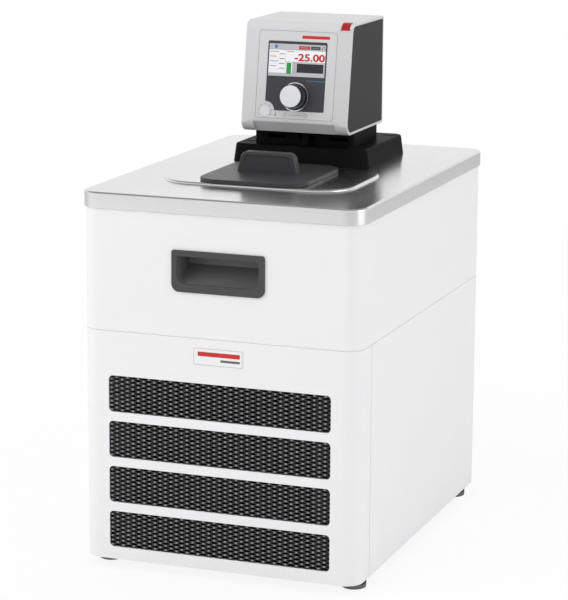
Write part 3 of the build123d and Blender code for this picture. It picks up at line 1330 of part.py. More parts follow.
with BuildPart() as impeller:
    with BuildSketch(Plane.XY.offset(IMPELLER_Z)):
        with Locations((0, MOTOR_Y)):
            Circle(IMPELLER_R)
    extrude(amount=IMPELLER_DISC_T)
    with BuildSketch(Plane.XY.offset(IMPELLER_Z)):
        with Locations((0, MOTOR_Y)):
            Circle(2 * SHAFT_R)
            with PolarLocations((IMPELLER_R + SHAFT_R) / 2, VANE_COUNT):
                Rectangle(IMPELLER_R - SHAFT_R - VANE_GAP, VANE_T)
    extrude(amount=IMPELLER_H)
impeller.part.label = "impeller"
export_step(impeller.part, "parts/impeller.step")

# Heater: one long U of tube below the bridge plate
heater_low_z = PUMP_TOP_Z + 2 * HEATER_R
heater_ys = (BRIDGE_MID_Y - PROBE_SPREAD, BRIDGE_MID_Y + PROBE_SPREAD)
with BuildPart() as heater_coil:
    with BuildLine() as heater_path:
        FilletPolyline(
            (HEATER_X, heater_ys[0], DECK_Z),
            (HEATER_X, heater_ys[0], heater_low_z),
            (HEATER_X + HEATER_REACH, heater_ys[0], heater_low_z),
            (HEATER_X + HEATER_REACH, heater_ys[1], heater_low_z),
            (HEATER_X, heater_ys[1], heater_low_z),
            (HEATER_X, heater_ys[1], DECK_Z),
            radius=HEATER_BEND_R,
        )
    with BuildSketch(Plane(origin=(HEATER_X, heater_ys[0], DECK_Z), z_dir=(0, 0, -1))):
        Circle(HEATER_R)
    sweep()
heater_coil.part.label = "heater_coil"
export_step(heater_coil.part, "parts/heater_coil.step")

# Evaporator: four tube legs on the tank floor, in and out at the tank's rear wall
coil_z = TANK_FLOOR_Z + COIL_R + FIT
coil_wall_y = TANK_BACK_Y - SHEET
coil_front_y = TANK_FRONT_Y + COIL_END
coil_rear_y = TANK_BACK_Y - COIL_END - COIL_BEND_R
coil_outer_x = TANK_W / 2 - COIL_SIDE
coil_inner_x = coil_outer_x / 3
with BuildPart() as evaporator_coil:
    with BuildLine() as coil_path:
        FilletPolyline(
            (-coil_outer_x, coil_wall_y, coil_z),
            (-coil_outer_x, coil_front_y, coil_z),
            (-coil_inner_x, coil_front_y, coil_z),
            (-coil_inner_x, coil_rear_y, coil_z),
            (coil_inner_x, coil_rear_y, coil_z),
            (coil_inner_x, coil_front_y, coil_z),
            (coil_outer_x, coil_front_y, coil_z),
            (coil_outer_x, coil_wall_y, coil_z),
            radius=COIL_BEND_R,
        )
    with BuildSketch(Plane(origin=(-coil_outer_x, coil_wall_y, coil_z), z_dir=(0, -1, 0))):
        Circle(COIL_R)
    sweep()
evaporator_coil.part.label = "evaporator_coil"
export_step(evaporator_coil.part, "parts/evaporator_coil.step")

# Level float on its stem, and the temperature sensor
stem_z = DECK_Z - FLOAT_STEM_L
float_place = (PROBE_X, BRIDGE_MID_Y - PROBE_SPREAD)
sensor_place = (PROBE_X, BRIDGE_MID_Y + PROBE_SPREAD)
with BuildPart() as float_stem:
    with BuildSketch(Plane.XY.offset(stem_z)):
        with Locations(float_place):
            Circle(ROD_R)
    extrude(amount=DECK_Z - stem_z)
    with BuildSketch(Plane.XY.offset(stem_z)):
        with Locations(float_place):
            Circle(2 * ROD_R)
    extrude(amount=FLOAT_STOP_T)
float_stem.part.label = "float_stem"
export_step(float_stem.part, "parts/float_stem.step")

with BuildPart() as level_float:
    with BuildSketch(Plane.XY.offset(stem_z + FLOAT_STOP_T + FIT)):
        with Locations(float_place):
            Circle(FLOAT_R)
            Circle(ROD_R + FIT, mode=Mode.SUBTRACT)
    extrude(amount=FLOAT_H)
level_float.part.label = "level_float"
export_step(level_float.part, "parts/level_float.step")

with BuildPart() as temperature_sensor:
    with BuildSketch(Plane.XY.offset(PUMP_TOP_Z)):
        with Locations(sensor_place):
            Circle(ROD_R)
    extrude(amount=DECK_Z - PUMP_TOP_Z)
temperature_sensor.part.label = "temperature_sensor"
export_step(temperature_sensor.part, "parts/temperature_sensor.step")

# Condenser: finned block behind the mesh, standing on the tray
fin_count = int((CONDENSER_W - 2 * FIN_PITCH) // FIN_PITCH)
with BuildPart() as condenser:
    with BuildSketch(Plane.XY.offset(FLOOR_Z)):
        with Locations((0, CONDENSER_FRONT_Y + CONDENSER_D / 2)):
            Rectangle(CONDENSER_W, CONDENSER_D)
        with Locations((0, CONDENSER_FRONT_Y + FIN_DEPTH / 2)):
            with GridLocations(FIN_PITCH, 0, fin_count, 1):
                Rectangle(FIN_GAP, FIN_DEPTH, mode=Mode.SUBTRACT)
    extrude(amount=CONDENSER_H)
condenser.part.label = "condenser"
export_step(condenser.part, "parts/condenser.step")

# Fan shroud: plate on the condenser's back with a round collar
with BuildPart() as fan_shroud:
    with BuildSketch(rear_plane(SHROUD_Y)):
        with Locations((0, FAN_Z)):
            Rectangle(CONDENSER_W, CONDENSER_H)
        with Locations((0, FAN_Z)):
            Circle(FAN_R + FAN_GAP, mode=Mode.SUBTRACT)
    extrude(amount=SHROUD_T)
    with BuildSketch(rear_plane(SHROUD_Y)):
        with Locations((0, FAN_Z)):
            Circle(FAN_R + FAN_GAP + SHROUD_T)
            Circle(FAN_R + FAN_GAP, mode=Mode.SUBTRACT)
    extrude(amount=SHROUD_T + SHROUD_COLLAR)
fan_shroud.part.label = "fan_shroud"
export_step(fan_shroud.part, "parts/fan_shroud.step")

# Fan motor on a bar across the collar, and the fan with its shaft in the motor
with BuildPart() as fan_motor:
    with BuildSketch(rear_plane(FAN_MOTOR_Y)):
        with Locations((0, FAN_Z)):
            Rectangle(ARM_W, 2 * (FAN_R + FAN_GAP + SHROUD_T))
            Circle(FAN_MOTOR_R)
    extrude(amount=ARM_T)
    with BuildSketch(rear_plane(FAN_MOTOR_Y)):
        with Locations((0, FAN_Z)):
            Circle(FAN_MOTOR_R)
    extrude(amount=FAN_MOTOR_D)
    with BuildSketch(rear_plane(FAN_MOTOR_Y)):
        with Locations((0, FAN_Z)):
            Circle(FAN_SHAFT_R + SHAFT_GAP)
    extrude(amount=FAN_MOTOR_D / 2, mode=Mode.SUBTRACT)
fan_motor.part.label = "fan_motor"
export_step(fan_motor.part, "parts/fan_motor.step")

with BuildPart() as condenser_fan:
    with BuildSketch(rear_plane(FAN_Y - FAN_HUB_D / 2)):
        with Locations((0, FAN_Z)):
            Circle(FAN_HUB_R)
    extrude(amount=FAN_HUB_D)
    for i in range(BLADE_COUNT):
        blade_turn = Location((0, FAN_Y, FAN_Z), (0, 360 * i / BLADE_COUNT, 0))
        with BuildSketch(
            Plane(blade_turn * Location((FAN_HUB_R - BLADE_ROOT, 0, 0), (90, 90, 0)))
        ):
            Rectangle(BLADE_T, BLADE_CHORD, rotation=BLADE_PITCH)
        extrude(amount=FAN_R - FAN_HUB_R)
    with BuildSketch(rear_plane(FAN_Y)):
        with Locations((0, FAN_Z)):
            Circle(FAN_SHAFT_R)
    extrude(amount=FAN_MOTOR_Y - FAN_Y + FAN_MOTOR_D / 2 - FIT)
condenser_fan.part.label = "condenser_fan"
export_step(condenser_fan.part, "parts/condenser_fan.step")

# Compressor: a domed pot on a foot plate, on rubber grommets
with BuildPart() as compressor_grommets:
    with BuildSketch(Plane.XY.offset(FLOOR_Z)):
        with Locations((COMPRESSOR_X, COMPRESSOR_Y)):
            with GridLocations(GROMMET_SPREAD, GROMMET_SPREAD, 2, 2):
                Circle(GROMMET_R)
    extrude(amount=GROMMET_H)
compressor_grommets.part.label = "compressor_grommets"
export_step(compressor_grommets.part, "parts/compressor_grommets.step")

with BuildPart() as compressor:
    with BuildSketch(Plane.XY.offset(COMPRESSOR_Z)):
        with Locations((COMPRESSOR_X, COMPRESSOR_Y)):
            RectangleRounded(COMPRESSOR_FOOT, COMPRESSOR_FOOT, COMPRESSOR_FOOT_R)
    extrude(amount=COMPRESSOR_FOOT_T)
    with BuildSketch(Plane.XY.offset(COMPRESSOR_Z)):
        with Locations((COMPRESSOR_X, COMPRESSOR_Y)):
            Circle(COMPRESSOR_R)
    extrude(amount=COMPRESSOR_H)
    fillet(compressor.edges().group_by(Axis.Z)[-1], COMPRESSOR_DOME_R)
compressor.part.label = "compressor"
export_step(compressor.part, "parts/compressor.step")

# Electrics box on the tray
with BuildPart() as electrics_box:
    with BuildSketch(Plane.XY.offset(FLOOR_Z)):
        with Locations((BOX_X, BOX_Y)):
            Rectangle(BOX_W, BOX_D)
    extrude(amount=BOX_H)
    chamfer(electrics_box.edges().filter_by(Axis.Z), BOX_CHAMFER)
electrics_box.part.label = "electrics_box"
export_step(electrics_box.part, "parts/electrics_box.step")

# Mains inlet in the rear panel: flange, body and an open socket with three flat pins
with BuildPart() as mains_inlet:
    with BuildSketch(rear_plane(HALF_D)):
        with Locations((-INLET_X, INLET_Z)):
            RectangleRounded(INLET_W, INLET_H, INLET_FLANGE_R)
    extrude(amount=INLET_FLANGE_T)
    with BuildSketch(rear_plane(HALF_D)):
        with Locations((-INLET_X, INLET_Z)):
            Rectangle(inlet_body_w, inlet_body_h)
    extrude(amount=-INLET_DEPTH)
    with BuildSketch(rear_plane(HALF_D + INLET_FLANGE_T)):
        with Locations((-INLET_X, INLET_Z)):
            Rectangle(INLET_OPEN_W, INLET_OPEN_H)
    extrude(amount=-INLET_DEPTH, mode=Mode.SUBTRACT)
    with BuildSketch(rear_plane(HALF_D + INLET_FLANGE_T - INLET_DEPTH)):
        with Locations((-INLET_X, INLET_Z)):
            with GridLocations(INLET_PIN_PITCH, 0, 3, 1):
                Rectangle(INLET_PIN_W, INLET_PIN_H)
    extrude(amount=INLET_DEPTH - INLET_PIN_SHORT)
mains_inlet.part.label = "mains_inlet"
export_step(mains_inlet.part, "parts/mains_inlet.step")

# Drain: pipe from the tank floor to the tap in the rear panel
with BuildPart() as drain_pipe:
    with BuildLine() as drain_path:
        FilletPolyline(
            (DRAIN_X, DRAIN_Y, TANK_Z),
            (DRAIN_X, DRAIN_Y, DRAIN_Z),
            (DRAIN_X, TAP_START_Y, DRAIN_Z),
            radius=DRAIN_BEND_R,
        )
    with BuildSketch(Plane(origin=(DRAIN_X, DRAIN_Y, TANK_Z), z_dir=(0, 0, -1))):
        Circle(DRAIN_R)
        Circle(DRAIN_BORE_R, mode=Mode.SUBTRACT)
    sweep()
drain_pipe.part.label = "drain_pipe"
export_step(drain_pipe.part, "parts/drain_pipe.step")

# Drain tap: a body through the pocket's floor, a nozzle, and a boss that holds the lever's stem
with BuildPart() as drain_tap:
    with BuildSketch(rear_plane(TAP_START_Y)):
        with Locations((-DRAIN_X, DRAIN_Z)):
            Circle(TAP_R)
    extrude(amount=TAP_END_Y - TAP_NOZZLE_L - TAP_START_Y)
    with BuildSketch(rear_plane(TAP_END_Y - TAP_NOZZLE_L)):
        with Locations((-DRAIN_X, DRAIN_Z)):
            Circle(TAP_NOZZLE_R)
    extrude(amount=TAP_NOZZLE_L)
    with BuildSketch(rear_plane(TAP_START_Y)):
        with Locations((-DRAIN_X, DRAIN_Z)):
            Circle(DRAIN_BORE_R)
    extrude(amount=TAP_END_Y - TAP_START_Y, mode=Mode.SUBTRACT)
    with BuildSketch(Plane.XY.offset(DRAIN_Z + DRAIN_BORE_R + TAP_BOSS_FOOT)):
        with Locations((DRAIN_X, TAP_STEM_Y)):
            Circle(TAP_BOSS_R)
    extrude(amount=TAP_R - DRAIN_BORE_R - TAP_BOSS_FOOT + TAP_BOSS_RISE)
    with BuildSketch(Plane.XY.offset(DRAIN_Z + TAP_R + TAP_BOSS_RISE)):
        with Locations((DRAIN_X, TAP_STEM_Y)):
            Circle(TAP_STEM_R + SHAFT_GAP)
    extrude(amount=-TAP_STEM_DEPTH, mode=Mode.SUBTRACT)
drain_tap.part.label = "drain_tap"
export_step(drain_tap.part, "parts/drain_tap.step")

tap_lever_z = DRAIN_Z + TAP_R + TAP_LEVER_LIFT
with BuildPart() as tap_lever:
    with BuildSketch(Plane.XY.offset(tap_lever_z)):
        with Locations((DRAIN_X, TAP_STEM_Y)):
            Circle(TAP_BOSS_R)
        with Locations((DRAIN_X + TAP_LEVER_L / 2, TAP_STEM_Y)):
            RectangleRounded(TAP_LEVER_L, TAP_LEVER_W, TAP_STEM_R)
    extrude(amount=TAP_LEVER_T)
    with BuildSketch(Plane.XY.offset(tap_lever_z)):
        with Locations((DRAIN_X, TAP_STEM_Y)):
            Circle(TAP_STEM_R)
    extrude(amount=TAP_BOSS_RISE - TAP_LEVER_LIFT - TAP_STEM_DEPTH + FIT)
tap_lever.part.label = "tap_lever"
export_step(tap_lever.part, "parts/tap_lever.step")
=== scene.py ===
import math

import bmesh
import bpy
from mathutils import Matrix, Vector


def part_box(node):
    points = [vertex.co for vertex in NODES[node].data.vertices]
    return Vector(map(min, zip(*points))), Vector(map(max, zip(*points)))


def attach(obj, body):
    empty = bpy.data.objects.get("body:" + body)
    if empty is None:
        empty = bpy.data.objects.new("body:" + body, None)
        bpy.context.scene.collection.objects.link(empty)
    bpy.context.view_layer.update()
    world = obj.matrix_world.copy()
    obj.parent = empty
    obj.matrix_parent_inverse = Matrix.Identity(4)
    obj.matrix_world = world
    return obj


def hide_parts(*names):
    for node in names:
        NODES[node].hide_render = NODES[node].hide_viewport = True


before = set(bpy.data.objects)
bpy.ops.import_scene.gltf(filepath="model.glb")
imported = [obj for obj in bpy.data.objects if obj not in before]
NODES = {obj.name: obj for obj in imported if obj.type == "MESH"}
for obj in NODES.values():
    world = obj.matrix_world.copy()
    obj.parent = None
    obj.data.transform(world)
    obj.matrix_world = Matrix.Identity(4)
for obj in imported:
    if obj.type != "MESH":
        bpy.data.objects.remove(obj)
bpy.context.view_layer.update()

# The pieces are drawn in millimetres and scaled to metres when they are placed.
MM = 0.001


def box_mm(node):
    """Lowest and highest corner of a CAD node, in millimetres."""
    low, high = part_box(node)
    return low / MM, high / MM


# Places taken from the frame
DECK_LOW, DECK_HIGH = box_mm("deck_plate")
LID_LOW, LID_HIGH = box_mm("bath_lid")
GRIP_LOW, GRIP_HIGH = box_mm("lid_grip")
BRIDGE_LOW, BRIDGE_HIGH = box_mm("bridge")
NECK_HIGH = box_mm("neck")[1]
PANEL_LOW, PANEL_HIGH = box_mm("front_vent_panel")
MESH_LOW, MESH_HIGH = box_mm("vent_mesh")
BADGE_LOW, BADGE_HIGH = box_mm("badge_plate")

# The head's tilted face: local x to the right, local y up the face, local z out of it
FACE_TILT = math.radians(9.2)
FACE_UP = Vector((0, math.sin(FACE_TILT), math.cos(FACE_TILT)))
FACE_OUT = Vector((0, -math.cos(FACE_TILT), math.sin(FACE_TILT)))
FACE_ORIGIN = Vector((0, 0, NECK_HIGH.z))


def axes(right, up, out, origin):
    """Matrix from local millimetres to metres in the row frame."""
    turn = Matrix((right, up, out)).transposed().to_4x4()
    return Matrix.Scale(MM, 4) @ Matrix.Translation(origin) @ turn


RIGHT = Vector((1, 0, 0))
BACK = Vector((0, 1, 0))
UP = Vector((0, 0, 1))
LEVEL = axes(RIGHT, BACK, UP, Vector((0, 0, 0)))
FACE = axes(RIGHT, FACE_UP, FACE_OUT, FACE_ORIGIN)


def upright(y):
    """Local x to the right, local y up, local z out of the front."""
    return axes(RIGHT, UP, -BACK, Vector((0, y, 0)))


# Materials


def link_noise(tree, scale, detail, stretch):
    """Noise in the row frame's own coordinates; stretch scales it along each axis."""
    coord = tree.nodes.new("ShaderNodeTexCoord")
    mapping = tree.nodes.new("ShaderNodeMapping")
    mapping.inputs["Scale"].default_value = stretch
    noise = tree.nodes.new("ShaderNodeTexNoise")
    noise.inputs["Scale"].default_value = scale
    noise.inputs["Detail"].default_value = detail
    tree.links.new(coord.outputs["Object"], mapping.inputs["Vector"])
    tree.links.new(mapping.outputs["Vector"], noise.inputs["Vector"])
    return noise.outputs["Fac"]


# A noise keeps between these two values nearly everywhere
NOISE_LOW = 0.3
NOISE_HIGH = 0.7


def link_range(tree, value, low, high):
    """Spreads a noise over the span from low to high."""
    span = tree.nodes.new("ShaderNodeMapRange")
    span.inputs["From Min"].default_value = NOISE_LOW
    span.inputs["From Max"].default_value = NOISE_HIGH
    span.inputs["To Min"].default_value = low
    span.inputs["To Max"].default_value = high
    tree.links.new(value, span.inputs["Value"])
    return span.outputs["Result"]


def surface(
    name, color, rough, metal=0.0, tone=0.03, tone_scale=18, spread=0.05, grain=900,
    depth=0.02, stretch=(1, 1, 1), anisotropic=0.0, glow=0.0, specular=0.5,
):
    """Principled material with a little drift in colour and roughness, and a fine grain.

    tone and tone_scale are the strength and scale of the colour's drift, spread is that of the roughness.
    grain is the scale of the fine noise and depth its height in millimetres.
    """
    mat = bpy.data.materials.new(name)
    mat.use_nodes = True
    tree = mat.node_tree
    bsdf = tree.nodes["Principled BSDF"]
    bsdf.inputs["Metallic"].default_value = metal
    bsdf.inputs["Anisotropic"].default_value = anisotropic
    bsdf.inputs["Specular IOR Level"].default_value = specular
    drift = link_noise(tree, tone_scale, 3, stretch)
    mix = tree.nodes.new("ShaderNodeMix")
    mix.data_type = "RGBA"
    mix.inputs[6].default_value = tuple(c * (1 - tone) for c in color) + (1,)
    mix.inputs[7].default_value = tuple(min(1, c * (1 + tone)) for c in color) + (1,)
    tree.links.new(link_range(tree, drift, 0, 1), mix.inputs[0])
    tree.links.new(mix.outputs[2], bsdf.inputs["Base Color"])
    grain_noise = link_noise(tree, grain, 2, stretch)
    tree.links.new(link_range(tree, grain_noise, rough - spread, rough + spread), bsdf.inputs["Roughness"])
    bump = tree.nodes.new("ShaderNodeBump")
    bump.inputs["Strength"].default_value = 1
    bump.inputs["Distance"].default_value = depth * MM
    tree.links.new(grain_noise, bump.inputs["Height"])
    tree.links.new(bump.outputs["Normal"], bsdf.inputs["Normal"])
    if glow:
        bsdf.inputs["Emission Color"].default_value = tuple(color) + (1,)
        bsdf.inputs["Emission Strength"].default_value = glow
    return mat


def paint_recess_light(mat, painted_light_colour, reach):
    """Paints what lies nearer to the middle than reach, from front to back, in the given paler colour:
    painted light on a recess that the lamps would light.
    """
    tree = mat.node_tree
    bsdf = tree.nodes["Principled BSDF"]
    outer = bsdf.inputs["Base Color"].links[0].from_socket
    coord = tree.nodes.new("ShaderNodeTexCoord")
    split = tree.nodes.new("ShaderNodeSeparateXYZ")
    size = tree.nodes.new("ShaderNodeMath")
    size.operation = "ABSOLUTE"
    beyond = tree.nodes.new("ShaderNodeMath")
    beyond.operation = "GREATER_THAN"
    beyond.inputs[1].default_value = reach * MM
    mix = tree.nodes.new("ShaderNodeMix")
    mix.data_type = "RGBA"
    mix.inputs[6].default_value = tuple(painted_light_colour) + (1,)
    tree.links.new(coord.outputs["Object"], split.inputs[0])
    tree.links.new(split.outputs["Y"], size.inputs[0])
    tree.links.new(size.outputs[0], beyond.inputs[0])
    tree.links.new(beyond.outputs[0], mix.inputs[0])
    tree.links.new(outer, mix.inputs[7])
    tree.links.new(mix.outputs[2], bsdf.inputs["Base Color"])


# Stretch of the noise that makes brushed metal: lines from front to back on the deck, and round upright parts
BRUSH_TOP = (60, 1.2, 60)
BRUSH_ROUND = (1, 1, 20)
LOOKS = {
    "white_paint": surface(
        "white powder coat", (0.87, 0.87, 0.88), 0.42, tone=0.006, grain=1400, depth=0.008,
    ),
    "zinc": surface(
        "galvanised sheet", (0.52, 0.53, 0.54), 0.42, metal=0.85, tone=0.16, tone_scale=45, spread=0.08,
    ),
    "black_sheet": surface("black coated steel", (0.030, 0.030, 0.032), 0.42, grain=1200),
    "mesh_steel": surface(
        "dark coated strands", (0.075, 0.075, 0.078), 0.34, metal=0.35, tone=0.10, tone_scale=60,
    ),
    # Painted highlight: the bonds are much paler than the strands, standing in for light on their faces
    "mesh_bond_highlight": surface(
        "strand bonds with painted highlight", (0.38, 0.38, 0.385), 0.34, metal=0.35, tone=0.10, tone_scale=60,
    ),
    "steel": surface(
        "brushed stainless", (0.74, 0.74, 0.745), 0.20, metal=1.0, tone=0.02, tone_scale=14, spread=0.03,
        grain=30, depth=0.0006, stretch=BRUSH_TOP, anisotropic=0.3,
    ),
    "bath_steel": surface(
        "satin stainless", (0.66, 0.66, 0.66), 0.38, metal=0.65, tone=0.05, tone_scale=20, spread=0.06,
        grain=30, depth=0.004, stretch=BRUSH_ROUND,
    ),
    "turned_steel": surface(
        "turned stainless", (0.66, 0.66, 0.66), 0.26, metal=0.85, tone=0.05, tone_scale=40, grain=60,
        depth=0.004, stretch=BRUSH_ROUND,
    ),
    "foam": surface(
        "closed cell foam", (0.62, 0.55, 0.36), 0.85, tone=0.12, tone_scale=90, grain=700, depth=0.25,
    ),
    # The grips' recesses get a paler colour further down: painted light
    "grip": surface("grip plastic with painted recess light", (0.053, 0.051, 0.053), 0.50, grain=1500, depth=0.03),
    "lid": surface(
        "lid plastic", (0.043, 0.041, 0.044), 0.36, grain=1600, depth=0.02, tone=0.05, specular=0.32,
    ),
    "black": surface(
        "black moulding", (0.0085, 0.0083, 0.008), 0.42, grain=1500, depth=0.02, tone=0.10, specular=0.02,
    ),
    "rubber": surface("foot rubber", (0.020, 0.020, 0.020), 0.70, grain=900, depth=0.05, tone=0.15),
    "foot_grey": surface("foot sole", (0.16, 0.16, 0.16), 0.60, grain=900, depth=0.05, tone=0.15),
    "head": surface("head plastic", (0.665, 0.665, 0.675), 0.38, grain=1800, depth=0.008, tone=0.01),
    "head_side": surface(
        "head side plastic", (0.025, 0.024, 0.025), 0.55, grain=1500, depth=0.04, tone=0.06, specular=0.25,
    ),
    "film": surface("face film", (0.675, 0.675, 0.685), 0.33, grain=2400, depth=0.004, tone=0.01),
    "panel": surface("dark panel film", (0.033, 0.032, 0.040), 0.34, grain=2400, depth=0.004),
    "chrome": surface("polished ring", (0.75, 0.75, 0.77), 0.16, metal=1.0, tone_scale=50, spread=0.04),
    "knob": surface("knob plastic", (0.018, 0.018, 0.020), 0.28, grain=1500, depth=0.01, tone=0.08),
    "cap": surface("knob cap", (0.79, 0.80, 0.81), 0.36, grain=1500, depth=0.006, tone=0.02),
    "red": surface("red plastic", (0.38, 0.006, 0.009), 0.30, grain=1200, tone=0.08),
    "board": surface("solder mask", (0.012, 0.10, 0.035), 0.35, grain=300, tone=0.12, tone_scale=120),
    "dark_plastic": surface("moulded part", (0.035, 0.035, 0.037), 0.45, grain=1200, depth=0.03),
    "cast": surface(
        "cast aluminium", (0.50, 0.51, 0.52), 0.45, metal=0.9, tone=0.08, tone_scale=60, spread=0.10,
        grain=500, depth=0.08,
    ),
    "fins": surface(
        "coated fins", (0.010, 0.010, 0.011), 0.60, tone=0.12, tone_scale=80, spread=0.08, specular=0.2,
    ),
    "copper": surface(
        "bare copper", (0.60, 0.26, 0.14), 0.30, metal=1.0, tone=0.14, tone_scale=60, spread=0.08,
    ),
    "white_film": surface("screen white", (0.86, 0.86, 0.87), 0.30, tone=0.01, glow=0.10),
    "screen_grey": surface("screen grey", (0.20, 0.21, 0.22), 0.30, tone=0.01, glow=0.05),
    "screen_pale": surface("screen pale grey", (0.50, 0.50, 0.52), 0.30, tone=0.01, glow=0.06),
    "screen_red": surface("screen red", (0.45, 0.004, 0.010), 0.30, tone=0.01, glow=0.10),
    "screen_black": surface("screen black", (0.010, 0.010, 0.012), 0.25, tone=0.01),
    "screen_slate": surface("screen slate", (0.050, 0.055, 0.065), 0.25, tone=0.01),
    "screen_green": surface("screen green", (0.010, 0.26, 0.045), 0.30, tone=0.01, glow=0.10),
    "screen_blue": surface("screen blue", (0.09, 0.15, 0.50), 0.30, tone=0.01, glow=0.10),
    "print_red": surface("red print", (0.58, 0.018, 0.014), 0.40, tone=0.02),
    "print_grey": surface("grey print", (0.12, 0.12, 0.125), 0.40, tone=0.02),
    "print_pale": surface("pale print", (0.25, 0.25, 0.26), 0.40, tone=0.02),
    "print_blue": surface("blue print", (0.045, 0.12, 0.19), 0.40, tone=0.02),
}

# Painted light: the recess of a grip is painted paler than its bezel, which lies further out than this, to
# stand in for the light on the recess's slope
GRIP_WELL_PAINTED_LIGHT = (0.150, 0.146, 0.150)
GRIP_BEZEL_Y = 235.6
paint_recess_light(LOOKS["grip"], GRIP_WELL_PAINTED_LIGHT, GRIP_BEZEL_Y)

NODE_LOOKS = {
    "white_paint": "front_vent_panel side_panel_left side_panel_right rear_panel upper_casing",
    "zinc": "base_tray chassis_frame electrics_box",
    "black_sheet": "vent_mesh fan_shroud fan_motor compressor",
    "steel": "deck_plate bridge_plate",
    "bath_steel": "bath_tank",
    "turned_steel": "pump_ports pump_tube pump_housing pump_shaft heater_coil evaporator_coil float_stem "
                    "temperature_sensor encoder_plunger",
    "foam": "tank_insulation",
    "grip": "front_grip rear_grip",
    "lid": "bath_lid lid_grip",
    "black": "bridge bridge_plugs neck flow_lever mains_inlet",
    "rubber": "feet compressor_grommets",
    "head": "head_shell",
    "head_side": "head_side_left head_side_right head_rear_cover",
    "film": "face_plate badge_plate",
    "panel": "display_panel",
    "white_film": "display_screen",
    "board": "display_board",
    "chrome": "knob_ring drain_tap",
    "dark_plastic": "encoder_body cutoff_switch condenser_fan impeller level_float",
    "knob": "control_knob",
    "cap": "knob_cap cutoff_dial",
    "red": "power_rocker tap_lever",
    "cast": "pump_motor",
    "fins": "condenser",
    "copper": "drain_pipe",
}

SMOOTH_ANGLE = math.radians(32)
WELD_REACH = 0.001 * MM


def dress(obj, look):
    """Gives a CAD node its material and smooth shading that stays crisp at its sharp edges."""
    obj.data.materials.clear()
    obj.data.materials.append(LOOKS[look])
    obj.data.shade_smooth()
    weld = obj.modifiers.new("weld", "WELD")
    weld.merge_threshold = WELD_REACH
    split = obj.modifiers.new("sharp edges", "EDGE_SPLIT")
    split.split_angle = SMOOTH_ANGLE
    split.use_edge_sharp = False
    obj.modifiers.new("even shading", "WEIGHTED_NORMAL")


for look, names in NODE_LOOKS.items():
    for node_name in names.split():
        dress(NODES[node_name], look)


# Drawing helpers

# Steps in a quarter turn of the larger corners
CORNER_STEPS = 12


def rounded(width, height, radius, centre=(0, 0), steps=8):
    """Points of a rounded rectangle, anticlockwise. radius may hold one value for each quadrant."""
    radii = radius if isinstance(radius, (list, tuple)) else [radius] * 4
    points = []
    for quadrant, (side_x, side_y) in enumerate(((1, 1), (-1, 1), (-1, -1), (1, -1))):
        r = max(radii[quadrant], 0.01)
        cx = centre[0] + side_x * (width / 2 - r)
        cy = centre[1] + side_y * (height / 2 - r)
        for i in range(steps + 1):
            angle = math.pi / 2 * (quadrant + i / steps)
            points.append((cx + r * math.cos(angle), cy + r * math.sin(angle)))
    return points


def circle(radius, centre=(0, 0), steps=48):
    turns = [2 * math.pi * i / steps for i in range(steps)]
    return [(centre[0] + radius * math.cos(a), centre[1] + radius * math.sin(a)) for a in turns]


def ring(bm, points, height):
    return [bm.verts.new((x, y, height)) for x, y in points]


def skin(bm, low, high, look=0):
    """Band of quads between two rings with the same number of points."""
    count = len(low)
    for i in range(count):
        j = (i + 1) % count
        face = bm.faces.new((low[i], low[j], high[j], high[i]))
        face.material_index = look


def close(bm, points, look=0):
    bm.faces.new(points).material_index = look


def stack(bm, width, height, radius, levels, centre=(0, 0), steps=8, look=0, caps=(True, True)):
    """Closed body from rounded outlines: levels holds (inset, height) pairs from the lowest up."""
    rings = []
    for inset, level in levels:
        outline = rounded(width - 2 * inset, height - 2 * inset, radius - inset, centre, steps)
        rings.append(ring(bm, outline, level))
    for low, high in zip(rings, rings[1:]):
        skin(bm, low, high, look)
    if caps[0]:
        close(bm, rings[0][::-1], look)
    if caps[1]:
        close(bm, rings[-1], look)
    return rings


def edge_levels(top, radius, steps=5, inset=0.0):
    """Levels of a rounded upper edge that ends at height top."""
    turns = [math.pi / 2 * i / steps for i in range(steps + 1)]
    return [(inset + radius * (1 - math.cos(a)), top - radius + radius * math.sin(a)) for a in turns]


def lathe(bm, profile, centre=(0, 0), steps=64, look=0):
    """Turned body: profile holds (radius, height) pairs from the lowest up."""
    rings = [ring(bm, circle(max(r, 0.01), centre, steps), h) for r, h in profile]
    for low, high in zip(rings, rings[1:]):
        skin(bm, low, high, look)
    close(bm, rings[0][::-1], look)
    close(bm, rings[-1], look)


def plate(bm, points, low, high, look=0):
    """Flat prism between two heights."""
    bottom = ring(bm, points, low)
    top = ring(bm, points, high)
    skin(bm, bottom, top, look)
    close(bm, bottom[::-1], look)
    close(bm, top, look)


def box_at(bm, x0, x1, y0, y1, z0, z1, look=0):
    plate(bm, [(x0, y0), (x1, y0), (x1, y1), (x0, y1)], z0, z1, look)


def piece(name, bm, place, body, looks, replaced=()):
    """Makes the drawn mesh an object that rides a CAD body."""
    bmesh.ops.recalc_face_normals(bm, faces=bm.faces)
    bm.transform(place)
    mesh = bpy.data.meshes.new(name)
    bm.to_mesh(mesh)
    bm.free()
    mesh.shade_smooth()
    mesh.set_sharp_from_angle(angle=SMOOTH_ANGLE)
    obj = bpy.data.objects.new(name, mesh)
    bpy.context.scene.collection.objects.link(obj)
    for look in looks:
        mesh.materials.append(LOOKS[look])
    even = obj.modifiers.new("even shading", "WEIGHTED_NORMAL")
    even.keep_sharp = True
    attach(obj, body)
    if replaced:
        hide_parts(*replaced)


# Expanded metal: rows of zigzag strands that meet at short bonds, which carry a painted highlight
LONG_WAY = 13.1
SHORT_WAY = 5.1
STRAND_W = 1.0
STRAND_T = 0.7
STRAND_LEAN = math.radians(38)
STRAND_HEIGHT = 0.86 * STRAND_W
STRAND_DEPTH = 0.75
BOND_HALF = 1.25
SLOT_W = 264.8
SLOT_H = 42.2
SLOT_PITCH = 52.8
SLOT_COUNT = 4
MESH_LAP = 4


